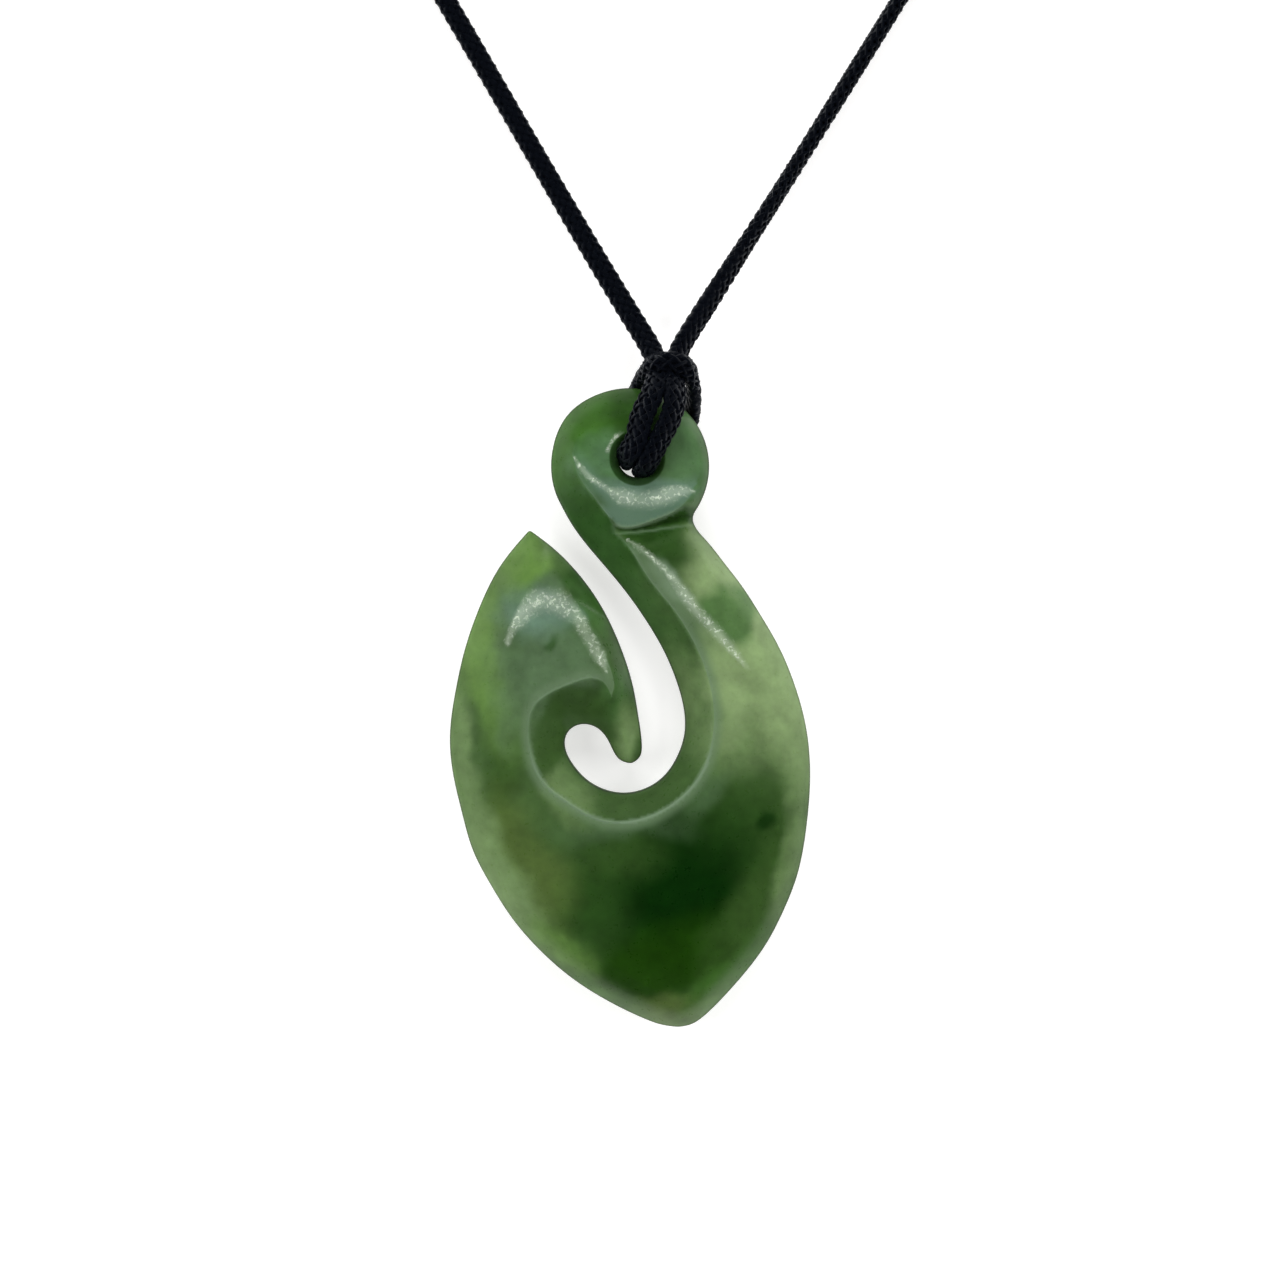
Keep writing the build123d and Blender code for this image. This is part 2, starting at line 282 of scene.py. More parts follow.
def joined(lines):
    """One closed loop from lines that follow each other."""
    return np.concatenate([line[:-1] for line in lines])


def table_line(rows, column, spacing, before=(), after=()):
    """Smooth line through one pair of a table's columns, with points added at its ends."""
    points = [in_plan(row[column], row[column + 1]) for row in rows]
    return smooth_line(list(before) + points + list(after), spacing)


def head_arc(spacing):
    """The head's round outline, from the notch over the top to the stem."""
    start, end = (math.radians(angle) for angle in HEAD_ANGLES)
    angles = np.linspace(start, end, int((end - start) * HEAD_RADIUS / spacing) + 2)
    turned = (np.degrees(angles) - HEAD_BULGE_ANGLE) / HEAD_BULGE_SPREAD
    radius = HEAD_RADIUS + HEAD_BULGE * np.exp(-turned**2)
    return np.stack([HEAD_CENTRE[0] + radius * np.cos(angles),
                     HEAD_CENTRE[1] + radius * np.sin(angles)], axis=1)


def outline_loop(spacing):
    """The hook's outline, its corners worn round as they are on the stone."""
    arc = head_arc(spacing)
    loop = joined([
        arc,
        table_line(STEM_AND_BOWL, 0, spacing, before=[arc[-1]]),
        table_line(BARB_AND_LOBE, 0, spacing),
        table_line(LEFT_SIDE, 0, spacing),
        table_line(RIGHT_SIDE, 0, spacing, after=[arc[0]]),
    ])
    reach = int(CORNER_WEAR / 2 / spacing)
    around = np.concatenate([loop[-reach:], loop, loop[:reach]])
    kernel = np.ones(2 * reach + 1) / (2 * reach + 1)
    return np.stack([np.convolve(around[:, i], kernel, mode="valid") for i in (0, 1)], axis=1)


def front_loop(spacing):
    """Ridge round the flat front, and how soft the ridge is along it."""
    lines = [
        (smooth_line(from_photo(HEAD_FACE), spacing), SOFT_OUTSIDE),
        (smooth_line(from_photo(HEAD_FACE_LEFT), spacing), SOFT_BY_HEAD),
        (table_line(STEM_AND_BOWL[1:], 2, spacing, before=from_photo(HEAD_FACE_LEFT[-1:])),
         SOFT_BY_OPENING),
        (table_line(BARB_AND_LOBE, 2, spacing), SOFT_BY_BARB),
        (table_line(LEFT_SIDE, 2, spacing), SOFT_OUTSIDE),
        (table_line(RIGHT_SIDE[:-1], 2, spacing), SOFT_OUTSIDE),
    ]
    softness = np.concatenate([np.full(len(line) - 1, soft) for line, soft in lines])
    ridge = joined([line for line, _ in lines])
    x, y = ridge[:, 0], ridge[:, 1]
    on_lobe = (x < -5) & (y > LOBE_RIDGE_Y[0]) & (y < LOBE_RIDGE_Y[1])
    softness = np.where(on_lobe, np.minimum(softness, SOFT_BY_BARB), softness)
    lobe_tip = (x < -2) & (y > LOBE_RIDGE_Y[1]) & (y < HEAD_FRONT_Y)
    return ridge, np.where(lobe_tip, SOFT_OUTSIDE, softness)


def edge_rounding(to_outline):
    """How far the rounded edge drops at a distance from the outline."""
    gap = np.clip(EDGE_ROUNDING - to_outline, 0, EDGE_ROUNDING)
    return EDGE_ROUNDING - np.sqrt(EDGE_ROUNDING**2 - gap**2)


class PlanLine:
    """A line of the plan that tells how far points are from it, on which side and how far along."""

    def __init__(self, points, closed=False):
        self.points = np.asarray(points)
        ahead = np.roll(self.points, -1, axis=0) - np.roll(self.points, 1, axis=0)
        if not closed:
            ahead[0] = self.points[1] - self.points[0]
            ahead[-1] = self.points[-1] - self.points[-2]
        self.ahead = ahead / np.linalg.norm(ahead, axis=1)[:, None]
        self.tree = plan_tree(self.points)

    def measure(self, points):
        """Distance, signed distance (positive to the left of the line) and nearest sample."""
        found = [self.tree.find((x, y, 0)) for x, y in points]
        distance = np.array([item[2] for item in found])
        nearest = np.array([item[1] for item in found])
        offset = points - self.points[nearest]
        ahead = self.ahead[nearest]
        side = ahead[:, 0] * offset[:, 1] - ahead[:, 1] * offset[:, 0]
        return distance, np.where(side >= 0, distance, -distance), nearest


def inside(points, loop):
    """Which points lie inside a closed loop."""
    result = np.zeros(len(points), dtype=bool)
    ends = np.roll(loop, -1, axis=0)
    for (x0, y0), (x1, y1) in zip(loop, ends):
        crosses = (y0 > points[:, 1]) != (y1 > points[:, 1])
        rows = np.nonzero(crosses)[0]
        at = x0 + (points[rows, 1] - y0) / (y1 - y0) * (x1 - x0)
        hits = rows[points[rows, 0] < at]
        result[hits] = ~result[hits]
    return result


def ramp(value, low, high):
    """Smooth step from 0 at low to 1 at high."""
    share = np.clip((value - low) / (high - low), 0, 1)
    return share * share * (3 - 2 * share)


def fall(value, low, high):
    """Smooth step from 1 at low to 0 at high."""
    return 1 - ramp(value, low, high)


def soft_lower(first, second, softness):
    """The lower of two surfaces, with the ridge between them rounded."""
    return (first + second) / 2 - np.sqrt((first - second)**2 + softness**2) / 2


# How far apart the samples of the plan's lines are, how many of them blend the ridge's softness to
# each side, and what share of a glint its ends take up in length and keep in width
LINE_SPACING = 0.04
SOFTNESS_BLEND = 30
GLINT_END = 0.25
GLINT_END_WIDTH = 0.3


class Carving:
    """Heights of the stone's front and back over the plan, and masks for its painted glints,
    highlights and shade, and for its greyer faces.
    """

    def __init__(self):
        self.outline = PlanLine(outline_loop(LINE_SPACING), closed=True)
        ridge, softness = front_loop(LINE_SPACING)
        self.ridge = PlanLine(ridge, closed=True)
        around = np.concatenate([softness[-SOFTNESS_BLEND:], softness, softness[:SOFTNESS_BLEND]])
        kernel = np.ones(2 * SOFTNESS_BLEND + 1) / (2 * SOFTNESS_BLEND + 1)
        self.softness = np.convolve(around, kernel, mode="valid")
        self.opening = PlanLine(np.concatenate([
            table_line(STEM_AND_BOWL, 0, 0.1), table_line(BARB_AND_LOBE[:-2], 0, 0.1)]))
        self.crest, self.facet_edge, self.groove, self.shank_edge, self.shank = (
            PlanLine(smooth_line(from_photo(pixels), LINE_SPACING))
            for pixels in (HEAD_CREST, FACET_EDGE, GROOVE, SHANK_EDGE, SHANK_CREST))

    def crown(self, points):
        across = points[:, 0]**2 / (2 * CROWN_RADIUS_ACROSS)
        along = (points[:, 1] - CROWN_PEAK_Y)**2 / (2 * CROWN_RADIUS_ALONG)
        return STONE_THICKNESS - across - along

    def facet_depth(self, points, beyond_ridge):
        """How far the head's lower facet lies under the crown."""
        _, crest_side, _ = self.crest.measure(points)
        below = np.sqrt(np.clip(-crest_side, 0, None)**2 + CREST_ROUNDING**2) - CREST_ROUNDING
        on_head = fall(away_from(points, HEAD_CENTRE), *HEAD_FACET_END)
        return HEAD_FACET_SLOPE * below * on_head * fall(beyond_ridge, 0.0, 1.6)

    def groove_depth(self, points):
        """How deep the groove between head and shank is: a wall under the facet, then a slope."""
        to_bottom, above, nearest = self.groove.measure(points)
        to_facet, over_facet, _ = self.facet_edge.measure(points)
        to_shank, over_shank, _ = self.shank_edge.measure(points)
        along = nearest * LINE_SPACING
        deep = GROOVE_DEPTH * ramp(along, *GROOVE_START) * (
            GROOVE_START_SHARE + (1 - GROOVE_START_SHARE) * ramp(along, *GROOVE_FULL))
        wall = to_facet / (to_facet + to_bottom + TINY) * (over_facet < 0)
        wall *= fall(points[:, 1], *GROOVE_END_Y)
        slope = to_shank / (to_shank + to_bottom + TINY) * (over_shank > 0)
        return deep * np.where(above > 0, wall, slope)

    def shank_depth(self, points):
        """How far the facet along the shank's inner side lies under the crown."""
        away, side, nearest = self.shank.measure(points)
        along = nearest * LINE_SPACING
        slope = SHANK_FACET_SLOPE * ramp(along, *SHANK_FACET_START)
        slope *= fall(along, *SHANK_FACET_END)
        _, groove_side, _ = self.shank_edge.measure(points)
        on_facet = (side < 0) & (away < SHANK_FACET_REACH) & (groove_side < 0)
        return np.where(on_facet, slope * np.clip(away, 0, SHANK_FACET_WIDTH), 0)

    def glints(self, points):
        """How much a place takes part in the painted glints along the crests: pale highlight
        specks.
        """
        amount = np.zeros(len(points))
        for pixels, width in GLINT_LINES:
            line = smooth_line(from_photo(pixels), 0.05)
            away, _, nearest = PlanLine(line).measure(points)
            along = nearest / (len(line) - 1)
            full = ramp(along, 0.0, GLINT_END) * fall(along, 1 - GLINT_END, 1.0)
            full = full * (1 - GLINT_END_WIDTH) + GLINT_END_WIDTH
            amount = np.maximum(amount, fall(away, 0.0, width * full))
        away, _, _ = self.ridge.measure(points)
        beyond = np.where(inside(points, self.ridge.points), -away, away)
        return amount * fall(beyond, 0.0, 0.3)

    def off_corner(self, points):
        """0 at the corner where the bowl's lip meets the lobe's ridge, 1 away from it."""
        return ramp(away_from(points, in_plan(*BARB_AND_LOBE[0][2:])), 0.5, 1.9)

    def grey_faces(self, points):
        """1 on the paler carved faces: the inner ridge's lip, and the head's and shank's facets."""
        away, _, nearest = self.ridge.measure(points)
        x, y = points[:, 0], points[:, 1]
        _, over_shank, _ = self.shank_edge.measure(points)
        _, over_facet, _ = self.facet_edge.measure(points)
        _, crest_side, _ = self.crest.measure(points)
        lip = fall(self.softness[nearest], *LIP_SOFTNESS) * fall(away, 0.15, LIP_WIDTH)
        lip *= fall(y, SHANK_TOP_Y - 2, SHANK_TOP_Y - 0.9) * self.off_corner(points)
        _, side, nearest = self.shank.measure(points)
        along = nearest * LINE_SPACING
        shank = ramp(-side, 0.0, 0.15) * ramp(along, 2.0, 5.0) * fall(along, 9.0, 15.0)
        shank *= (x > -2) & (y < SHANK_TOP_Y) & (over_shank < 0)
        head = ramp(-crest_side, -1.1, 0.3) * ramp(over_facet, 0.0, 0.12)
        head *= fall(away_from(points, HEAD_CENTRE), 5.3, 6.2) * (x > HEAD_FACET_START_X)
        upper_left = fall(away, 0.1, 0.9) * ramp(y, 15.2, 16.0) * (x < 0)
        head *= 1 - 0.65 * upper_left
        return np.maximum(np.maximum(lip, shank), head) * inside(points, self.ridge.points)

    def edge_highlights(self, points):
        """1 along the crisp edges of the carving, where a pale line is painted as a highlight."""
        away, _, nearest = self.ridge.measure(points)
        amount = fall(self.softness[nearest], 0.1, 0.4) * fall(away, 0.03, 0.16)
        amount *= (0.3 + 0.7 * ramp(-points[:, 1], 1.5, 5.0)) * self.off_corner(points)
        for line, strength in ((self.facet_edge, 1.0), (self.shank_edge, 0.45)):
            away, _, nearest = line.measure(points)
            along = nearest / len(line.points)
            fade = ramp(along, 0.0, 0.1) * fall(along, 0.6, 0.95) * strength
            amount = np.maximum(amount, fade * fall(away, 0.03, 0.16))
        return amount

    def hole_ring(self, points):
        """1 on the hole's countersunk rim, which is painted darker as shade."""
        from_hole = away_from(points, HOLE_CENTRE)
        return fall(from_hole, HOLE_RIM_RADIUS - 0.06, HOLE_RIM_RADIUS + 0.06)

    def outer_side(self, points):
        """1 by the hook's outer edge, 0 by its opening; it places the rim's painted glow."""
        _, _, nearest = self.outline.measure(points)
        to_opening, _, _ = self.opening.measure(self.outline.points[nearest])
        below_head = fall(points[:, 1], SHANK_TOP_Y - 2, SHANK_TOP_Y + 1)
        return ramp(to_opening, 0.1, 1.5) * below_head

    def front(self, points):
        """Height of the front, distance to the outline and to the ridge."""
        to_outline, _, _ = self.outline.measure(points)
        to_ridge, _, nearest = self.ridge.measure(points)
        within = inside(points, self.ridge.points)
        beyond = np.where(within, -to_ridge, to_ridge)
        side_width = np.maximum(to_outline + beyond, NARROWEST_SIDE)
        wear_and_highlight = ramp(self.softness[nearest], *ROLL_SOFTNESS)
        soft = self.softness[nearest] * fall(-beyond, *SOFT_REACH)
        lip = fall(soft, *LIP_SOFTNESS) * np.clip(1 - to_ridge / LIP_WIDTH, 0, 1)**2
        top = self.crown(points) - self.facet_depth(points, beyond) - self.shank_depth(points)
        top -= self.groove_depth(points)
        top -= np.where(within, LIP_DROP * lip, 0)
        share = to_outline / side_width
        bevel = SIDE_WALL_HEIGHT + (top - SIDE_WALL_HEIGHT) * share
        height = soft_lower(bevel, top, soft)
        drop = np.minimum(top - SIDE_WALL_HEIGHT, ROLL_SLOPE * side_width)
        rolled = top - drop * np.clip(1 - share / ROLL_REACH, 0, 1)**ROLL_POWER
        height += (rolled - height) * wear_and_highlight
        height -= edge_rounding(to_outline)
        from_hole = away_from(points, HOLE_CENTRE)
        cone = HOLE_THROAT_TOP + (from_hole - HOLE_RADIUS) * (HEAD_HEIGHT - HOLE_THROAT_TOP) / (
            HOLE_RIM_RADIUS - HOLE_RADIUS)
        sunk = soft_lower(height, cone, HOLE_EDGE_SOFTNESS)
        return np.where(from_hole < FRONT_CONE_REACH, sunk, height), to_outline, beyond

    def back(self, points):
        """Height of the back, chamfered and thinned behind the head; distance to the outline."""
        to_outline, _, _ = self.outline.measure(points)
        chamfer = BACK_EDGE_HEIGHT * np.clip(1 - to_outline / BACK_INSET, 0, 1)
        relief = RELIEF_HEIGHT * np.clip(
            (points[:, 1] - RELIEF_START_Y) / (RELIEF_END_Y - RELIEF_START_Y), 0, 1)
        height = np.maximum(chamfer, relief) + edge_rounding(to_outline)
        from_hole = away_from(points, HOLE_CENTRE)
        cone = HOLE_THROAT_BOTTOM - (from_hole - HOLE_RADIUS) * BACK_CONE_SLOPE
        return np.maximum(height, np.where(from_hole < BACK_CONE_REACH, cone, 0)), to_outline


# Mesh of the stone: rows of points along its lines, and grids between them. Each grid: pitch,
# margin to edge and hole, gap to the rows. Each spread of rows: margin to the edge, to the hole,
# gap between points.
FRONT_GRID = (0.21, 0.3, 0.1)
BACK_GRID = (0.6, 0.75, 0.3)
FRONT_SPREAD = (0.035, 0.05, 0.045)
BACK_SPREAD = (0.06, 0.06, 0.09)
FINE_STEP = 2
ROW_STEP = 4
BACK_STEP = 8
HOLE_SIDES = 96
HOLE_ROWS = (1.77, 1.97, 2.12, 2.17, 2.23, 2.38)
EDGE_ROWS = (0.05, 0.12, 0.22)
RIDGE_ROWS = (-0.07, 0.0, 0.07)
FACET_ROWS = (-0.07, 0.07)
BACK_ROWS = (0.07, 0.2, BACK_INSET)
OFF_FRONT = 9.0


def well_inside(points, outline, margin, hole_margin):
    """The points that lie inside the outline and outside the hole, with a margin."""
    points = points[inside(points, outline.points)]
    to_outline, _, _ = outline.measure(points)
    off_hole = away_from(points, HOLE_CENTRE) > HOLE_RADIUS + hole_margin
    return points[(to_outline > margin) & off_hole]


def grid_points(outline, pitch, margin):
    """Points of a triangular grid inside the outline and outside the hole."""
    low, high = outline.points.min(axis=0), outline.points.max(axis=0)
    rows = np.arange(low[1], high[1], pitch * math.sqrt(3) / 2)
    columns = np.arange(low[0], high[0], pitch)
    grid = [(x + (i % 2) * pitch / 2, y) for i, y in enumerate(rows) for x in columns]
    return well_inside(np.array(grid), outline, margin, margin)


def offset_rows(line, distances, step):
    """Rows of points beside a line, at the given distances to its left."""
    across = np.stack([-line.ahead[:, 1], line.ahead[:, 0]], axis=1)[::step]
    return [line.points[::step] + across * distance for distance in distances]


def spread_out(rows, outline, margin, hole_margin, gap):
    """Points of the rows inside the margins, without those that crowd an earlier one that stays."""
    points = well_inside(np.concatenate(rows), outline, margin, hole_margin)
    tree = plan_tree(points)
    kept, dropped = [], set()
    for i, (x, y) in enumerate(points):
        if i not in dropped:
            kept.append(i)
            dropped.update(j for _, j, _ in tree.find_range((x, y, 0), gap) if j > i)
    return points[kept]


def thinned(points, taken, gap):
    """The points that keep a gap from those taken."""
    tree = plan_tree(taken)
    return np.array([(x, y) for x, y in points if tree.find((x, y, 0))[2] > gap])


def closed_edges(first, count):
    """Pairs of neighbours on a closed line of so many points."""
    return [(first + i, first + (i + 1) % count) for i in range(count)]


def triangulated(rim, hole, inner):
    """Triangles between the outline and the hole, over all the points."""
    points = np.concatenate([rim, hole, inner])
    edges = closed_edges(0, len(rim)) + closed_edges(len(rim), len(hole))
    coords, _, faces, originals, _, _ = delaunay_2d_cdt(
        [Vector(p) for p in points], edges, [], 0, TINY)
    assert len(coords) == len(points), "points of the stone's plan coincide"
    back_to = [item[0] for item in originals]
    faces = np.array([[back_to[i] for i in face] for face in faces])
    middles = points[faces].mean(axis=1)
    keep = inside(middles, rim) & ~inside(middles, hole)
    return points, faces[keep]


def front_rows(carving, hole):
    """Points of the front along its edge, its ridges, the groove and the hole."""
    rows = offset_rows(carving.outline, EDGE_ROWS, ROW_STEP)
    rows += offset_rows(carving.ridge, RIDGE_ROWS, ROW_STEP)
    rows += [line.points[::FINE_STEP]
             for line in (carving.facet_edge, carving.groove, carving.shank_edge)]
    rows += offset_rows(carving.facet_edge, FACET_ROWS, FINE_STEP)
    rows += [line.points[::ROW_STEP] for line in (carving.crest, carving.shank)]
    rows += [HOLE_CENTRE + (hole - HOLE_CENTRE) * radius / HOLE_RADIUS for radius in HOLE_ROWS]
    return spread_out(rows, carving.outline, *FRONT_SPREAD)


def back_rows(carving):
    """Points of the back along its chamfered edge."""
    rows = offset_rows(carving.outline, BACK_ROWS, BACK_STEP)
    return spread_out(rows, carving.outline, *BACK_SPREAD)


def plan_mesh(outline, rim, hole, rows, pitch, margin, gap):
    """Points and triangles of one side of the stone: its rows, and a grid between them."""
    grid = thinned(grid_points(outline, pitch, margin), rows, gap)
    return triangulated(rim, hole, np.concatenate([rows, grid]))


def new_object(name, data):
    """A new object in the scene."""
    item = bpy.data.objects.new(name, data)
    bpy.context.collection.objects.link(item)
    return item


def make_stone():
    carving = Carving()
    outline = carving.outline
    rim = outline.points[::ROW_STEP]
    turns = np.linspace(0, 2 * math.pi, HOLE_SIDES + 1)[:-1]
    hole = np.stack([HOLE_CENTRE[0] + HOLE_RADIUS * np.cos(turns),
                     HOLE_CENTRE[1] + HOLE_RADIUS * np.sin(turns)], axis=1)
    front_points, front_faces = plan_mesh(
        outline, rim, hole, front_rows(carving, hole), *FRONT_GRID)
    back_points, back_faces = plan_mesh(outline, rim, hole, back_rows(carving), *BACK_GRID)
    front_z, front_edge, beyond = carving.front(front_points)
    back_z, back_edge = carving.back(back_points)
    in_hole = slice(len(rim), len(rim) + len(hole))
    front_z[in_hole] = HOLE_THROAT_TOP
    back_z[in_hole] = HOLE_THROAT_BOTTOM
    shift = len(front_points)
    faces = [tuple(face) for face in front_faces]
    faces += [tuple(shift + i for i in reversed(face)) for face in back_faces]
    faces += [(i, shift + i, shift + j, j) for i, j in closed_edges(0, len(rim))]
    faces += [(i, j, shift + j, shift + i) for i, j in closed_edges(len(rim), len(hole))]
    vertices = np.concatenate([np.column_stack([front_points, front_z]),
                               np.column_stack([back_points, back_z])]) * MM
    mesh = bpy.data.meshes.new("greenstone_carving")
    mesh.from_pydata(vertices.tolist(), [], faces)
    mesh.validate()
    for name, on_front, on_back in (
            ("edge_distance", front_edge, back_edge),
            ("ridge_distance", -beyond, OFF_FRONT),
            ("glint", carving.glints(front_points), 0.0),
            ("grey_faces", carving.grey_faces(front_points), 0.0),
            ("worn_edge", carving.edge_highlights(front_points), 0.0),
            ("hole_ring", carving.hole_ring(front_points), 0.0),
            ("outer_side", carving.outer_side(front_points), carving.outer_side(back_points))):
        on_back = np.broadcast_to(on_back, len(back_points))
        data = mesh.attributes.new(name, "FLOAT", "POINT").data
        data.foreach_set("value", np.concatenate([on_front, on_back]))
    mesh.shade_smooth()
    return new_object("greenstone_carving", mesh)


# Cord: the same route as the part's, from the middle of the hole, in millimetres, and how the braid
# is turned along it, in degrees
CORD_RADIUS = 0.65
UNDER_HEAD = 0.82
EDGE_RISE = 0.5
LEG_HEIGHT = 2.9
COLLAR_HEIGHT = 4.55
OVER_HEAD = 5.45
KNOT_CENTRE = (4.8, 251.3, 2.2)
KNOT_AXIS = (math.cos(math.radians(-3.5)), math.sin(math.radians(-3.5)), 0.0)
KNOT_HALF_LENGTH = 4.5
KNOT_RUN = 11.0
KNOT_GAP = 0.2
KNOT_TURNS = 5
KNOT_TURN_POINTS = 12
KNOT_WRAP_LENGTH = 7.4
KNOT_WRAP_RADIUS = 1.42
LEFT_LOOP = [(-5.86, 20.34), (-14.6, 35.5), (-31.6, 64.3), (-51.1, 108.2), (-58.9, 152.5),
             (-53.1, 194.1), (-38.6, 222.6), (-26.1, 240.6)]
RIGHT_LOOP = [(10.51, 20.03), (19.8, 34.9), (37.4, 63.5), (57.4, 106.1), (66.0, 150.3),
              (60.9, 192.0), (46.9, 221.6), (34.7, 239.2)]
RIGHT_LOOP_TURNS = (70, 85, 40, 10, 10, 10, 10, 10)
# The hitch. Each row: x, y, height, and how wide and how turned (degrees) the braid lies there.
HITCH = [
    (-0.9, 11.9, 1.7, 1.05, 0),
    (1.75, 7.6, LEG_HEIGHT, 1.05, 0),
    (1.42, 5.3, OVER_HEAD, 1.3, 0),
    (0.27, 3.1, OVER_HEAD, 1.36, 0),
    (-0.02, 1.2, OVER_HEAD, 1.28, 0),
    (-1.0, -0.1, OVER_HEAD - 0.4, 1.3, 0),
    (-1.0, 0.07, UNDER_HEAD, 1.0, 0),
    (-0.2, 5.2, UNDER_HEAD, 0.95, 0),
    (0.3, 6.4, 1.6, 0.95, 30),
    (1.35, 7.4, COLLAR_HEIGHT, 0.9, 80),
    (3.45, 7.35, COLLAR_HEIGHT, 0.9, 80),
    (4.42, 6.3, 3.2, 1.05, 30),
    (4.35, 3.4, UNDER_HEAD, 1.05, 0),
    (3.6, 2.0, UNDER_HEAD, 0.95, 0),
    (0.4, -0.6, UNDER_HEAD, 0.9, 0),
    (0.4, -1.2, OVER_HEAD - 0.4, 1.15, 0),
    (1.6, 1.1, OVER_HEAD, 1.2, 0),
    (2.68, 3.1, OVER_HEAD, 1.22, 0),
    (3.0, 5.0, OVER_HEAD, 1.3, 0),
    (2.65, 7.6, LEG_HEIGHT, 1.0, 0),
    (5.3, 11.9, 1.7, 1.0, 20),
]

# Braid: twelve flat strands, six each way, over and under each other, round a core whose width and
# thickness are shares of the braid's
STRAND_COUNT = 12
BRAID_WIDTH = 1.62
BRAID_THICKNESS = 1.05
STRAND_WIDTH = 0.6
STRAND_THICKNESS = 0.3
STRAND_SIDES = 6
BRAID_PITCH = 5.0
BRAID_STEP = 0.3
WEAVE_DEPTH = 0.045
CORE_WIDTH = 0.94
CORE_THICKNESS = 0.74
CORE_SIDES = 12
CORE_STRETCH = 0.35
HITCH_STEP = 0.15
KNOT_STEP = 0.2
KNOT_BRAID_WIDTH = 1.5
KNOT_BRAID_THICKNESS = 1.3


def on_loop(points, turns):
    """The cord lying on the table, raised where it stands on its narrow edge."""
    return [(x, y, CORD_RADIUS + EDGE_RISE * math.sin(math.radians(turn)), 1.0, turn)
            for (x, y), turn in zip(points, turns)]


def knot_end(side):
    """The last points of one side of the loop, from before the knot to the knot's middle."""
    points = []
    for away in (KNOT_HALF_LENGTH + KNOT_RUN, KNOT_HALF_LENGTH, KNOT_GAP):
        x, y, z = (c + a * side * away for c, a in zip(KNOT_CENTRE, KNOT_AXIS))
        points.append((x, y, z, 1.0, 0))
    return points


def knot_wraps():
    """The cord wound round both ends in the knot, turn beside turn."""
    axis = Vector(KNOT_AXIS)
    side = axis.cross(Vector((0, 0, 1)))
    points = []
    last = KNOT_TURNS * KNOT_TURN_POINTS
    for step in range(last + 1):
        turned = 2 * math.pi * step / KNOT_TURN_POINTS
        along = axis * (KNOT_WRAP_LENGTH * (step / last - 0.5))
        round_it = side * math.cos(turned) + Vector((0, 0, 1)) * math.sin(turned)
        x, y, z = Vector(KNOT_CENTRE) + along + round_it * KNOT_WRAP_RADIUS
        points.append((x, y, z, 1.0, 0))
    return points


def make_route(name, points):
    """Smooth line through the cord's points, with the braid's width and turn at each."""
    curve = bpy.data.curves.new(name, "CURVE")
    curve.dimensions = "3D"
    curve.twist_mode = "MINIMUM"
    spline = curve.splines.new("NURBS")
    spline.points.add(len(points) - 1)
    for point, (x, y, z, width, turn) in zip(spline.points, points):
        point.co = ((x + HOLE_CENTRE[0]) * MM, (y + HOLE_CENTRE[1]) * MM, z * MM, 1)
        point.radius = width
        point.tilt = math.radians(turn)
    spline.order_u = 3
    spline.use_endpoint_u = True
    spline.resolution_u = 24
    return new_object(name, curve)


def length_of(points):
    """Length in metres of the smooth line through the points."""
    route = make_route("measured_route", points)
    mesh = bpy.data.meshes.new_from_object(route)
    places = [vertex.co for vertex in mesh.vertices]
    total = sum((b - a).length for a, b in zip(places, places[1:]))
    bpy.data.objects.remove(route)
    bpy.data.meshes.remove(mesh)
    return total


class Tree:
    """Short way to write a node tree: nodes by type, values and links by socket name."""

    def __init__(self, tree):
        self.tree = tree

    def add(self, kind, settings=None, output=0, **inputs):
        node = self.tree.nodes.new(kind)
        for key, value in (settings or {}).items():
            setattr(node, key, value)
        for key, value in inputs.items():
            socket = node.inputs[int(key[1:])] if key[1:].isdigit() else node.inputs[
                key.replace("_", " ")]
            self.connect(value, socket)
        return node.outputs[output]

    def connect(self, value, socket):
        if isinstance(value, bpy.types.NodeSocket):
            self.tree.links.new(value, socket)
        else:
            socket.default_value = value

    def put_out(self, value):
        """Make a value the group's output."""
        self.connect(value, self.tree.nodes.new("NodeGroupOutput").inputs[0])

    def math(self, operation, *values):
        keys = {f"i{n}": value for n, value in enumerate(values)}
        return self.add("ShaderNodeMath", {"operation": operation}, **keys)

    def times(self, first, second):
        return self.math("MULTIPLY", first, second)

    def vector(self, operation, *values, output=0):
        keys = {f"i{n}": value for n, value in enumerate(values)}
        return self.add("ShaderNodeVectorMath", {"operation": operation}, output, **keys)

    def scaled(self, vector, scale):
        return self.add("ShaderNodeVectorMath", {"operation": "SCALE"}, i0=vector, i3=scale)

    def place_in_mm(self):
        return self.scaled(self.add("ShaderNodeTexCoord", output=3), 1 / MM)

    def attribute(self, name):
        return self.add("ShaderNodeAttribute", {"attribute_name": name}, 2)

    def noise(self, place, scale, detail, output=0, **more):
        return self.add("ShaderNodeTexNoise", None, output, Vector=place, Scale=scale,
                        Detail=detail, **more)

    def ramp(self, value, low, high, at_low=0.0, at_high=1.0, kind="LINEAR"):
        """From at_low, where the value is low or under it, to at_high."""
        return self.add("ShaderNodeMapRange", {"interpolation_type": kind}, Value=value,
                        From_Min=low, From_Max=high, To_Min=at_low, To_Max=at_high)

    def smooth_ramp(self, value, low, high, at_low=0.0, at_high=1.0):
        return self.ramp(value, low, high, at_low, at_high, "SMOOTHSTEP")

    def mix(self, amount, first, second, blend="MIX"):
        return self.add("ShaderNodeMix", {"data_type": "RGBA", "blend_type": blend}, 2,
                        i0=amount, i6=first, i7=second)

    def dimmed(self, colour, light):
        """The colour made darker or lighter by an amount."""
        grey = self.add("ShaderNodeCombineXYZ", X=light, Y=light, Z=light)
        return self.mix(1.0, colour, grey, "MULTIPLY")


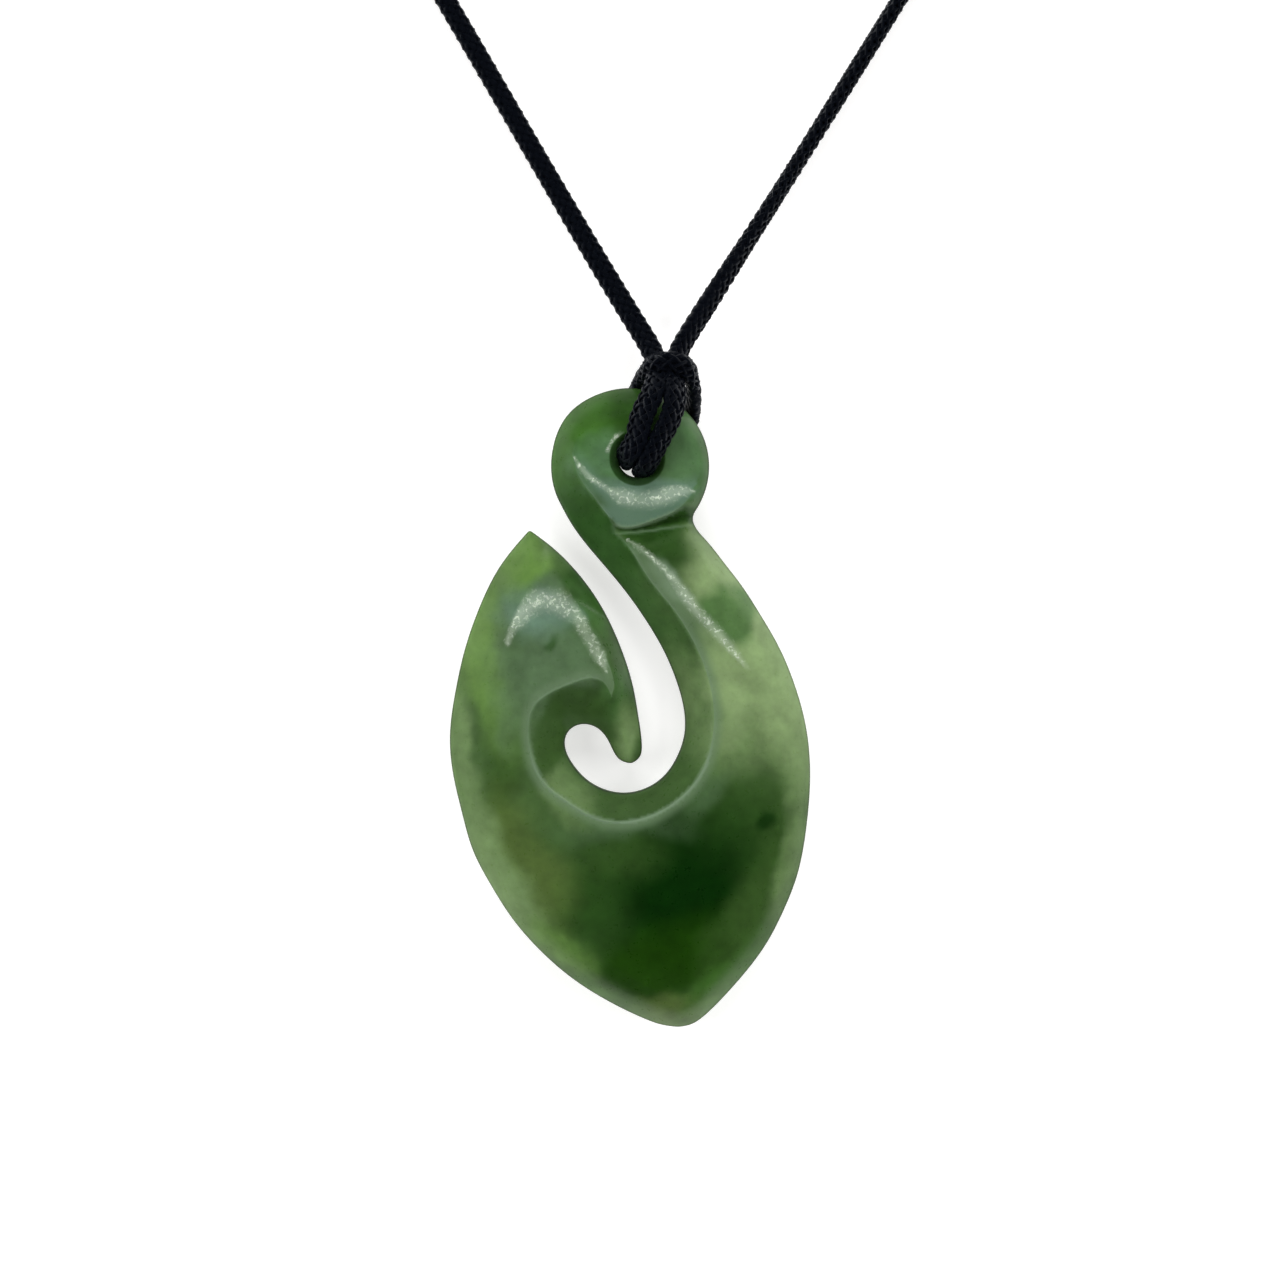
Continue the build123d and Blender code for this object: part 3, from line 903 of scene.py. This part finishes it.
def node_group(name, kind, inputs, outputs):
    """An empty node group with named sockets, and its own input node's outputs."""
    group = bpy.data.node_groups.new(name, kind)
    for label, socket_kind, value in inputs:
        socket = group.interface.new_socket(
            label, in_out="INPUT", socket_type="NodeSocket" + socket_kind)
        if value is not None:
            socket.default_value = value
    for label, socket_kind in outputs:
        group.interface.new_socket(
            label, in_out="OUTPUT", socket_type="NodeSocket" + socket_kind)
    return group, group.nodes.new("NodeGroupInput").outputs


def braid_tree():
    """Geometry nodes that lay a flat braid along a curve, between two lengths of it."""
    group, given = node_group("braid along a route", "GeometryNodeTree", [
        ("Geometry", "Geometry", None), ("From", "Float", 0.0), ("To", "Float", 1.0),
        ("Step", "Float", BRAID_STEP * MM), ("Width", "Float", BRAID_WIDTH * MM),
        ("Thickness", "Float", BRAID_THICKNESS * MM), ("Pitch", "Float", BRAID_PITCH * MM),
        ("Weave Depth", "Float", WEAVE_DEPTH * MM), ("Strand Width", "Float", STRAND_WIDTH * MM),
        ("Strand Thickness", "Float", STRAND_THICKNESS * MM), ("Strand Sides", "Int", STRAND_SIDES),
        ("Strands", "Int", STRAND_COUNT), ("Material", "Material", None),
    ], [("Geometry", "Geometry")])
    t = Tree(group)

    def kept(geometry, value, kind):
        node = group.nodes.new("GeometryNodeCaptureAttribute")
        node.capture_items.new(kind, "kept")
        t.connect(geometry, node.inputs[0])
        t.connect(value, node.inputs[1])
        return node.outputs[0], node.outputs[1]

    dense = t.add("GeometryNodeResampleCurve", {"mode": "LENGTH"}, Curve=given["Geometry"],
                  Length=given["Step"])
    along = t.add("GeometryNodeSplineParameter", output=1)
    outside = t.math("MAXIMUM", t.math("LESS_THAN", along, given["From"]),
                     t.math("GREATER_THAN", along, given["To"]))
    line, along = kept(dense, along, "FLOAT")
    line, tangent = kept(line, t.add("GeometryNodeInputTangent"), "VECTOR")
    line, normal = kept(line, t.add("GeometryNodeInputNormal"), "VECTOR")
    line, width = kept(line, t.add("GeometryNodeInputRadius"), "FLOAT")
    line = t.add("GeometryNodeDeleteGeometry", {"domain": "POINT"}, Geometry=line,
                 Selection=outside)
    copies = t.add("GeometryNodeDuplicateElements", {"domain": "SPLINE"}, Geometry=line,
                   Amount=given["Strands"])
    strands, number = kept(copies, copies.node.outputs[1], "INT")

    # Every strand circles the line, every second one the other way, and weaves in and out.
    way = t.math("MULTIPLY_ADD", t.math("MODULO", number, 2.0), -2.0, 1.0)
    turn = t.times(t.math("DIVIDE", along, given["Pitch"]), 2 * math.pi)
    start = t.times(t.math("FLOOR", t.math("DIVIDE", number, 2.0)), 4 * math.pi / STRAND_COUNT)
    angle = t.math("ADD", t.times(way, turn), start)
    weave = t.times(t.math("COSINE", t.times(turn, STRAND_COUNT / 2.0)), way)
    weave = t.times(weave, given["Weave Depth"])
    slack = t.math("DIVIDE", 1.0, t.math("SQRT", width))
    half_wide, half_high = (
        t.times(t.math("SUBTRACT", given[size], given["Strand Thickness"]), 0.5)
        for size in ("Width", "Thickness"))
    across = t.math("ADD", t.times(half_wide, width), weave)
    up = t.math("ADD", t.times(half_high, slack), weave)
    side = t.scaled(normal, t.times(t.math("COSINE", angle), across))
    rise = t.scaled(t.vector("CROSS_PRODUCT", tangent, normal),
                    t.times(t.math("SINE", angle), up))
    outward = t.vector("ADD", side, rise)

    def swept(curve, sides, thickness, width):
        ring = t.add("GeometryNodeCurvePrimitiveCircle", Resolution=sides, Radius=0.5)
        size = t.add("ShaderNodeCombineXYZ", X=thickness, Y=width, Z=1.0)
        ring = t.add("GeometryNodeTransform", Geometry=ring, Scale=size)
        return t.add("GeometryNodeCurveToMesh", i0=curve, i1=ring)

    laid = t.add("GeometryNodeSetPosition", Geometry=strands, Offset=outward)
    laid = t.add("GeometryNodeSetCurveNormal", {"mode": "FREE"}, Curve=laid, Normal=outward)
    laid = t.add("GeometryNodeSetCurveRadius", Curve=laid, Radius=1.0)
    mesh = swept(laid, given["Strand Sides"], given["Strand Thickness"], given["Strand Width"])
    stretch = t.math("MULTIPLY_ADD", width, CORE_STRETCH, 1 - CORE_STRETCH)
    core = t.add("GeometryNodeSetCurveRadius", Curve=line, Radius=stretch)
    core = swept(core, CORE_SIDES, t.times(given["Width"], CORE_WIDTH),
                 t.times(given["Thickness"], CORE_THICKNESS))
    both = group.nodes.new("GeometryNodeJoinGeometry")
    t.connect(core, both.inputs[0])
    t.connect(mesh, both.inputs[0])
    smooth = t.add("GeometryNodeSetShadeSmooth", Geometry=both.outputs[0])
    real = t.add("GeometryNodeRealizeInstances", Geometry=smooth)
    t.put_out(t.add("GeometryNodeSetMaterial", Geometry=real, Material=given["Material"]))
    return group


def braided(name, route, tree, **sizes):
    """The braid along one stretch of a route, as a plain mesh."""
    carrier = new_object("carrier", route.data.copy())
    modifier = carrier.modifiers.new("braid", "NODES")
    modifier.node_group = tree
    for item in tree.interface.items_tree:
        key = item.name.replace(" ", "_")
        if item.in_out == "INPUT" and key in sizes:
            modifier[item.identifier] = sizes[key]
    bpy.context.view_layer.update()
    evaluated = carrier.evaluated_get(bpy.context.evaluated_depsgraph_get())
    mesh = bpy.data.meshes.new_from_object(evaluated)
    mesh.name = name
    piece = new_object(name, mesh)
    bpy.data.objects.remove(carrier)
    return piece


# Colours of the stone, as linear light
STONE_COLOURS = {
    "deep": (0.002, 0.018, 0.0012),
    "bottle": (0.009, 0.038, 0.0015),
    "forest": (0.015, 0.049, 0.007),
    "fir": (0.020, 0.066, 0.012),
    "leaf": (0.032, 0.074, 0.015),
    "grass": (0.037, 0.105, 0.015),
    "moss": (0.045, 0.090, 0.026),
    "fern": (0.050, 0.118, 0.032),
    "olive": (0.074, 0.118, 0.028),
    "spring": (0.098, 0.190, 0.042),
    "slate": (0.078, 0.132, 0.066),
    "blue slate": (0.108, 0.182, 0.133),
    "celadon": (0.088, 0.178, 0.084),
    "sage": (0.136, 0.214, 0.084),
    "pale sage": (0.195, 0.280, 0.123),
    "lip grey": (0.118, 0.182, 0.100),
    "pale grey": (0.200, 0.280, 0.190),
    # pale colour of the painted glints
    "painted_glint": (0.600, 0.680, 0.550),
}
# How far noise bends the clouds, in millimetres, and how strongly each mark laid on the colour
# shows
CLOUD_DRIFT = 5.0
RIM_GLOW_STRENGTH = 0.4
RING_SHADE_STRENGTH = 0.85
FACE_STRENGTH = 0.7
EDGE_HIGHLIGHT_STRENGTH = 0.5
EDGE_SHADE_STRENGTH = 0.6
# Clouds in the stone, in pixels of the photograph. Each row: colour, middle, half sizes, turn in
# degrees, softness, strength.
STONE_CLOUDS = [
    # body
    ("leaf", (502, 790), (18, 55), 5, 0.6, 0.8),
    ("forest", (625, 900), (85, 75), 0, 0.6, 0.9),
    ("leaf", (735, 850), (90, 76), -10, 0.6, 0.6),
    ("forest", (715, 855), (74, 76), -10, 0.6, 0.85),
    ("deep", (688, 894), (64, 77), -20, 0.6, 1.0),
    ("bottle", (655, 972), (110, 40), 24, 0.5, 0.9),
    ("leaf", (612, 862), (46, 19), 8, 0.8, 0.5),
    ("slate", (626, 826), (50, 13), 0, 0.9, 0.45),
    ("slate", (712, 786), (12, 30), -40, 0.9, 0.4),
    ("sage", (566, 796), (26, 12), -45, 0.7, 0.45),
    ("olive", (528, 862), (30, 62), 25, 0.7, 0.8),
    ("sage", (501, 876), (26, 68), 32, 0.55, 1.0),
    ("spring", (555, 942), (16, 44), 52, 0.6, 0.75),
    ("sage", (466, 760), (12, 60), 5, 0.6, 0.6),
    ("sage", (802, 765), (12, 84), -4, 0.6, 0.55),
    ("olive", (682, 1012), (45, 14), 0, 0.6, 0.8),
    ("leaf", (760, 903), (24, 80), -30, 0.7, 0.9),
    ("sage", (789, 868), (11, 50), -18, 0.6, 0.5),
    ("deep", (768, 825), (8, 7), 0, 0.6, 0.8),
    ("grass", (728, 978), (16, 58), -36, 0.6, 0.75),
    ("grass", (612, 1000), (50, 14), -26, 0.6, 0.75),
    # right side and shank
    ("sage", (750, 720), (60, 42), 0, 0.6, 0.65),
    ("pale sage", (768, 655), (46, 120), 25, 0.55, 0.95),
    ("pale sage", (736, 580), (31, 48), 35, 0.55, 0.9),
    ("pale sage", (722, 680), (22, 38), 20, 0.5, 0.95),
    ("pale sage", (738, 652), (20, 22), 0, 0.6, 0.6),
    ("pale sage", (730, 726), (16, 14), 0, 0.6, 0.5),
    ("fern", (728, 616), (22, 21), 20, 0.35, 0.85),
    ("forest", (665, 548), (34, 15), -10, 0.6, 0.75),
    ("pale grey", (678, 582), (9, 30), 43, 0.6, 0.75),
]
# Clouds that only the slopes down to the opening have: stem, bowl and barb.
OPENING_CLOUDS = [
    ("fir", (600, 545), (36, 62), 35, 0.6, 0.85),
    ("fern", (645, 605), (24, 62), 32, 0.6, 0.65),
    ("sage", (683, 692), (14, 36), 8, 0.6, 0.8),
    ("moss", (680, 788), (36, 18), 35, 0.6, 0.8),
    ("moss", (620, 808), (45, 14), 0, 0.6, 0.9),
    ("sage", (572, 788), (28, 14), -45, 0.5, 0.6),
    ("fern", (616, 690), (16, 34), -20, 0.6, 0.7),
    ("sage", (628, 738), (13, 34), 0, 0.6, 0.95),
    ("leaf", (574, 704), (36, 20), -5, 0.4, 0.85),
    ("leaf", (547, 735), (13, 36), 0, 0.3, 0.75),
]
# Clouds of the lobe and the head.
UPPER_CLOUDS = [
    # lobe
    ("spring", (528, 560), (32, 42), -15, 0.7, 0.95),
    ("spring", (484, 655), (20, 90), 14, 0.6, 0.95),
    ("grass", (596, 605), (18, 75), -30, 0.5, 0.75),
    ("forest", (563, 566), (11, 26), -38, 0.6, 0.7),
    ("slate", (550, 668), (48, 52), 0, 0.5, 0.85),
    ("slate", (552, 590), (14, 23), 0, 0.5, 0.85),
    ("blue slate", (543, 612), (40, 20), 0, 0.6, 0.8),
    ("fern", (594, 607), (9, 44), 33, 0.5, 0.75),
    ("slate", (508, 705), (12, 40), 0, 0.6, 0.55),
    ("forest", (548, 641), (9, 4), 20, 0.6, 0.7),
    # head
    ("grass", (590, 430), (62, 60), 0, 0.5, 0.95),
    ("forest", (624, 412), (24, 20), 0, 0.7, 0.7),
    ("leaf", (708, 472), (13, 52), 0, 0.5, 0.85),
    ("celadon", (606, 462), (25, 22), 10, 0.6, 0.85),
    ("celadon", (684, 462), (24, 44), 0, 0.6, 0.5),
    ("blue slate", (642, 492), (44, 11), 0, 0.6, 0.75),
    # painted shade: darker green along the groove between head and shank
    ("forest", (648, 529), (42, 7), -8, 0.6, 0.9),
    ("forest", (680, 519), (40, 9), -8, 0.5, 0.95),
]


def soft_patch_group():
    """How much a place lies in a soft ellipse."""
    group, given = node_group("soft patch", "ShaderNodeTree", [
        ("Place", "Vector", None), ("Middle", "Vector", None), ("Half Size", "Vector", None),
        ("Turn", "Float", 0.0), ("Softness", "Float", 0.5), ("Strength", "Float", 1.0),
    ], [("Amount", "Float")])
    t = Tree(group)
    away = t.vector("SUBTRACT", given["Place"], given["Middle"])
    turned = t.add("ShaderNodeVectorRotate", {"rotation_type": "Z_AXIS"}, Vector=away,
                   Angle=given["Turn"])
    reach = t.vector("LENGTH", t.vector("DIVIDE", turned, given["Half Size"]), output=1)
    low = t.math("SUBTRACT", 1.0, given["Softness"])
    high = t.math("ADD", 1.0, given["Softness"])
    t.put_out(t.smooth_ramp(reach, low, high, given["Strength"], 0.0))
    return group


def new_material(name):
    """A material, the inputs of its shader, and its node tree."""
    material = bpy.data.materials.new(name)
    material.use_nodes = True
    shader = material.node_tree.nodes["Principled BSDF"].inputs
    return material, shader, Tree(material.node_tree)


def shade(name):
    """A colour of the stone, opaque."""
    return (*STONE_COLOURS[name], 1)


def clouded(t, place):
    """Colour of the stone's inside: every cloud laid over those before it."""
    patch = soft_patch_group()
    drift = t.vector("SUBTRACT", t.noise(place, 0.16, 3.0, 1), (0.5, 0.5, 0.5))
    drifted = t.vector("ADD", place, t.scaled(drift, CLOUD_DRIFT))
    drifted = t.vector("MULTIPLY", drifted, (1, 1, 0))
    on_slope = t.ramp(t.attribute("ridge_distance"), 0.04, -0.08)
    colour = shade("moss")
    for clouds, where in ((STONE_CLOUDS, 1.0), (UPPER_CLOUDS, 1.0), (OPENING_CLOUDS, on_slope)):
        for name, middle, half_size, turn, softness, strength in clouds:
            x, y = from_photo([middle])[0]
            amount = t.add(
                "ShaderNodeGroup", {"node_tree": patch}, Place=drifted, Middle=(x, y, 0),
                Half_Size=(half_size[0] / PIXELS_PER_MM, half_size[1] / PIXELS_PER_MM, 1),
                Turn=math.radians(-turn), Softness=softness, Strength=strength)
            colour = t.mix(t.times(amount, where), colour, shade(name))
    return colour


def greenstone_material():
    """Polished nephrite: clouds of green, a painted glow at the rims, painted glints along the
    carved crests.
    """
    material, shader, t = new_material("greenstone")
    place = t.place_in_mm()
    x, y, z = (t.add("ShaderNodeSeparateXYZ", output=n, Vector=place) for n in range(3))
    edge = t.attribute("edge_distance")
    ring = t.attribute("hole_ring")
    glint = t.attribute("glint")

    # a painted glow of light through the thin rim by the outer edge, strongest on the left
    rim = t.smooth_ramp(edge, 0.15, 2.2, RIM_GLOW_STRENGTH, 0.0)
    rim = t.times(rim, t.times(t.noise(place, 0.12, 2.0), 1.6))
    rim = t.times(rim, t.times(t.attribute("outer_side"), t.ramp(x, 2.0, 9.0, 1.0, 0.3)))
    colour = t.mix(rim, clouded(t, place), shade("sage"))
    mottle = t.noise(place, 0.55, 5.0, Roughness=0.6)
    colour = t.dimmed(colour, t.ramp(mottle, 0.3, 0.7, 0.8, 1.2))

    # the hole's countersink in painted shade, the greyer carved faces, a painted highlight along
    # the crisp edges and painted shade at the outline
    # painted shade: darker green over the countersink
    colour = t.mix(t.times(ring, RING_SHADE_STRENGTH), colour, shade("forest"))
    faces = t.times(t.attribute("grey_faces"), t.math("SUBTRACT", 1.0, ring))
    grey = t.mix(t.ramp(y, HEAD_FRONT_Y, SHANK_TOP_Y), shade("lip grey"), shade("blue slate"))
    colour = t.mix(t.times(faces, FACE_STRENGTH), colour, grey)
    # painted highlight: a pale line along the crisp edges of the carving
    wear_and_highlight = t.times(t.attribute("worn_edge"), EDGE_HIGHLIGHT_STRENGTH)
    colour = t.mix(wear_and_highlight, colour, shade("pale grey"))
    # painted shade: darker on the rounded edge at the outline
    outline = t.smooth_ramp(edge, 0.02, 0.16, EDGE_SHADE_STRENGTH, 0.0)
    outline = t.times(outline, t.ramp(z, 0.9, 2.1))
    colour = t.dimmed(colour, t.math("SUBTRACT", 1.0, outline))

    # the painted glints: pale highlight specks in clusters
    speck = t.noise(place, 3.1, 3.0, Roughness=0.6, Distortion=0.6)
    speck = t.smooth_ramp(speck, 0.50, 0.68)
    cluster = t.ramp(t.noise(place, 0.75, 1.0), 0.34, 0.56, 0.65, 1.0)
    painted_glint = t.times(glint, t.times(t.math("MULTIPLY_ADD", speck, 0.7, 0.3), cluster))
    t.connect(t.mix(painted_glint, colour, shade("painted_glint")), shader["Base Color"])

    # polish, duller at the very edge
    grain = t.noise(place, 2.4, 4.0, Roughness=0.7)
    dull = t.smooth_ramp(edge, 0.05, 0.3, 0.3, 0.0)
    rough = t.math("ADD", t.ramp(grain, 0.3, 0.7, 0.26, 0.34), dull)
    t.connect(rough, shader["Roughness"])
    relief = t.math("ADD", t.times(speck, glint), t.times(grain, 0.02))
    bump = t.add("ShaderNodeBump", Strength=0.5, Distance=0.06 * MM, Height=relief)
    t.connect(bump, shader["Normal"])
    shader["IOR"].default_value = 1.61
    shader["Specular IOR Level"].default_value = 0.14
    shader["Subsurface Weight"].default_value = 0.3
    shader["Subsurface Radius"].default_value = (0.7, 1.0, 0.5)
    shader["Subsurface Scale"].default_value = MM
    return material


def cord_material():
    """Black polyester braid with a faint blue sheen."""
    material, shader, t = new_material("black_cord")
    place = t.place_in_mm()
    fibre = t.noise(place, 5.0, 3.0)
    colour = t.mix(fibre, (0.0004, 0.0005, 0.0008, 1), (0.003, 0.004, 0.007, 1))
    t.connect(colour, shader["Base Color"])
    bump = t.add("ShaderNodeBump", Strength=0.4, Distance=0.04 * MM, Height=fibre)
    t.connect(bump, shader["Normal"])
    rough = t.ramp(t.noise(place, 0.9, 2.0), 0.35, 0.65, 0.24, 0.65)
    t.connect(rough, shader["Roughness"])
    shader["Specular IOR Level"].default_value = 0.2
    shader["Specular Tint"].default_value = (0.75, 0.85, 1.0, 1)
    return material


# Table, a little below the stone so that the two don't share a plane, in metres
TABLE_REACH = 1.5
TABLE_Z = -0.00003


def make_floor():
    mesh = bpy.data.meshes.new("white_table")
    corners = ((-1, -1), (1, -1), (1, 1), (-1, 1))
    mesh.from_pydata([(x * TABLE_REACH, y * TABLE_REACH, 0) for x, y in corners], [],
                     [(0, 1, 2, 3)])
    floor = new_object("white_table", mesh)
    floor.location.z = TABLE_Z
    material, shader, _ = new_material("white_table")
    shader["Base Color"].default_value = (0.62, 0.62, 0.62, 1)
    shader["Roughness"].default_value = 0.8
    shader["Emission Color"].default_value = (1.0, 0.99, 0.98, 1)
    shader["Emission Strength"].default_value = 0.6
    mesh.materials.append(material)


# Camera straight above, at the photograph's scale
IMAGE_SIZE = 1280
IMAGE_MIDDLE = from_photo([(640, 640)])[0]
RIM_HEIGHT = 2.0
LENS = 85.0
SENSOR = 36.0


def make_camera():
    camera = new_object("camera", bpy.data.cameras.new("camera"))
    camera.data.lens = LENS
    camera.data.sensor_width = SENSOR
    camera.data.clip_start = 0.01
    distance = IMAGE_SIZE / PIXELS_PER_MM * LENS / SENSOR
    camera.location = (IMAGE_MIDDLE[0] * MM, IMAGE_MIDDLE[1] * MM, (distance + RIM_HEIGHT) * MM)
    bpy.context.scene.camera = camera


# Four soft windows round a dark middle, and a low one that the polish mirrors. Each row: name,
# place in metres, width, height, power, whether it shows in the polish. All face the origin.
WINDOWS = [
    ("window_top", (0.0, 0.526, 0.329), 0.6, 0.35, 3.2, False),
    ("window_left", (-0.52, 0.05, 0.30), 0.35, 0.5, 2.6, False),
    ("window_right", (0.52, 0.05, 0.30), 0.35, 0.5, 2.6, False),
    ("low_left", (-0.55, 0.10, 0.13), 0.3, 0.12, 0.25, True),
    ("window_bottom", (0.0, -0.46, 0.386), 0.5, 0.3, 1.5, False),
]


def make_light():
    """The windows, and a dim world whose backdrop looks pale to the camera only."""
    for name, place, width, height, power, mirrored in WINDOWS:
        light = new_object(name, bpy.data.lights.new(name, "AREA"))
        light.data.shape = "RECTANGLE"
        light.data.size = width
        light.data.size_y = height
        light.data.energy = power
        light.location = place
        direction = Vector() - Vector(place)
        light.rotation_euler = direction.to_track_quat("-Z", "Y").to_euler()
        light.visible_glossy = mirrored
    world = bpy.data.worlds.new("studio")
    world.use_nodes = True
    dim = world.node_tree.nodes["Background"]
    dim.inputs["Color"].default_value = (0.95, 1.0, 1.0, 1)
    dim.inputs["Strength"].default_value = 0.05
    t = Tree(world.node_tree)
    pale = t.add("ShaderNodeBackground", Color=(0.68, 0.68, 0.67, 1), Strength=1.0)
    seen = t.add("ShaderNodeLightPath", output=0)
    backdrop = t.add("ShaderNodeMixShader", i0=seen, i1=dim.outputs[0], i2=pale)
    t.connect(backdrop, world.node_tree.nodes["World Output"].inputs["Surface"])
    bpy.context.scene.world = world
    bpy.context.scene.view_settings.view_transform = "Standard"


stone = make_stone()
stone.data.materials.append(greenstone_material())
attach(stone, "root")
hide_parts("greenstone_hook")

black_cord = cord_material()
left_points = on_loop(LEFT_LOOP, [0] * len(LEFT_LOOP)) + knot_end(-1)
left_points.reverse()
right_points = on_loop(RIGHT_LOOP, RIGHT_LOOP_TURNS) + knot_end(1)
route = make_route("cord_route", left_points + HITCH + right_points)
tree = braid_tree()
whole_length = length_of(left_points + HITCH + right_points)
left_end = length_of(left_points)
right_start = whole_length - length_of(right_points)
for name, node, start, end, step in (
        ("braid_left", "neck_cord_left", 0.0, left_end, BRAID_STEP * MM),
        ("braid_hitch", "cord_hitch", left_end, right_start, HITCH_STEP * MM),
        ("braid_right", "neck_cord_right", right_start, whole_length, BRAID_STEP * MM)):
    piece = braided(name, route, tree, From=start - step, To=end + step, Step=step,
                    Material=black_cord)
    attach(piece, "root")
    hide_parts(node)
bpy.data.objects.remove(route)
wraps = make_route("knot_route", knot_wraps())
knot = braided("wrapped_knot", wraps, tree, From=0.0, To=1.0, Step=KNOT_STEP * MM,
               Width=KNOT_BRAID_WIDTH * MM, Thickness=KNOT_BRAID_THICKNESS * MM,
               Material=black_cord)
bpy.data.objects.remove(wraps)
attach(knot, "root")
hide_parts("closing_knot")
make_floor()
make_camera()
make_light()
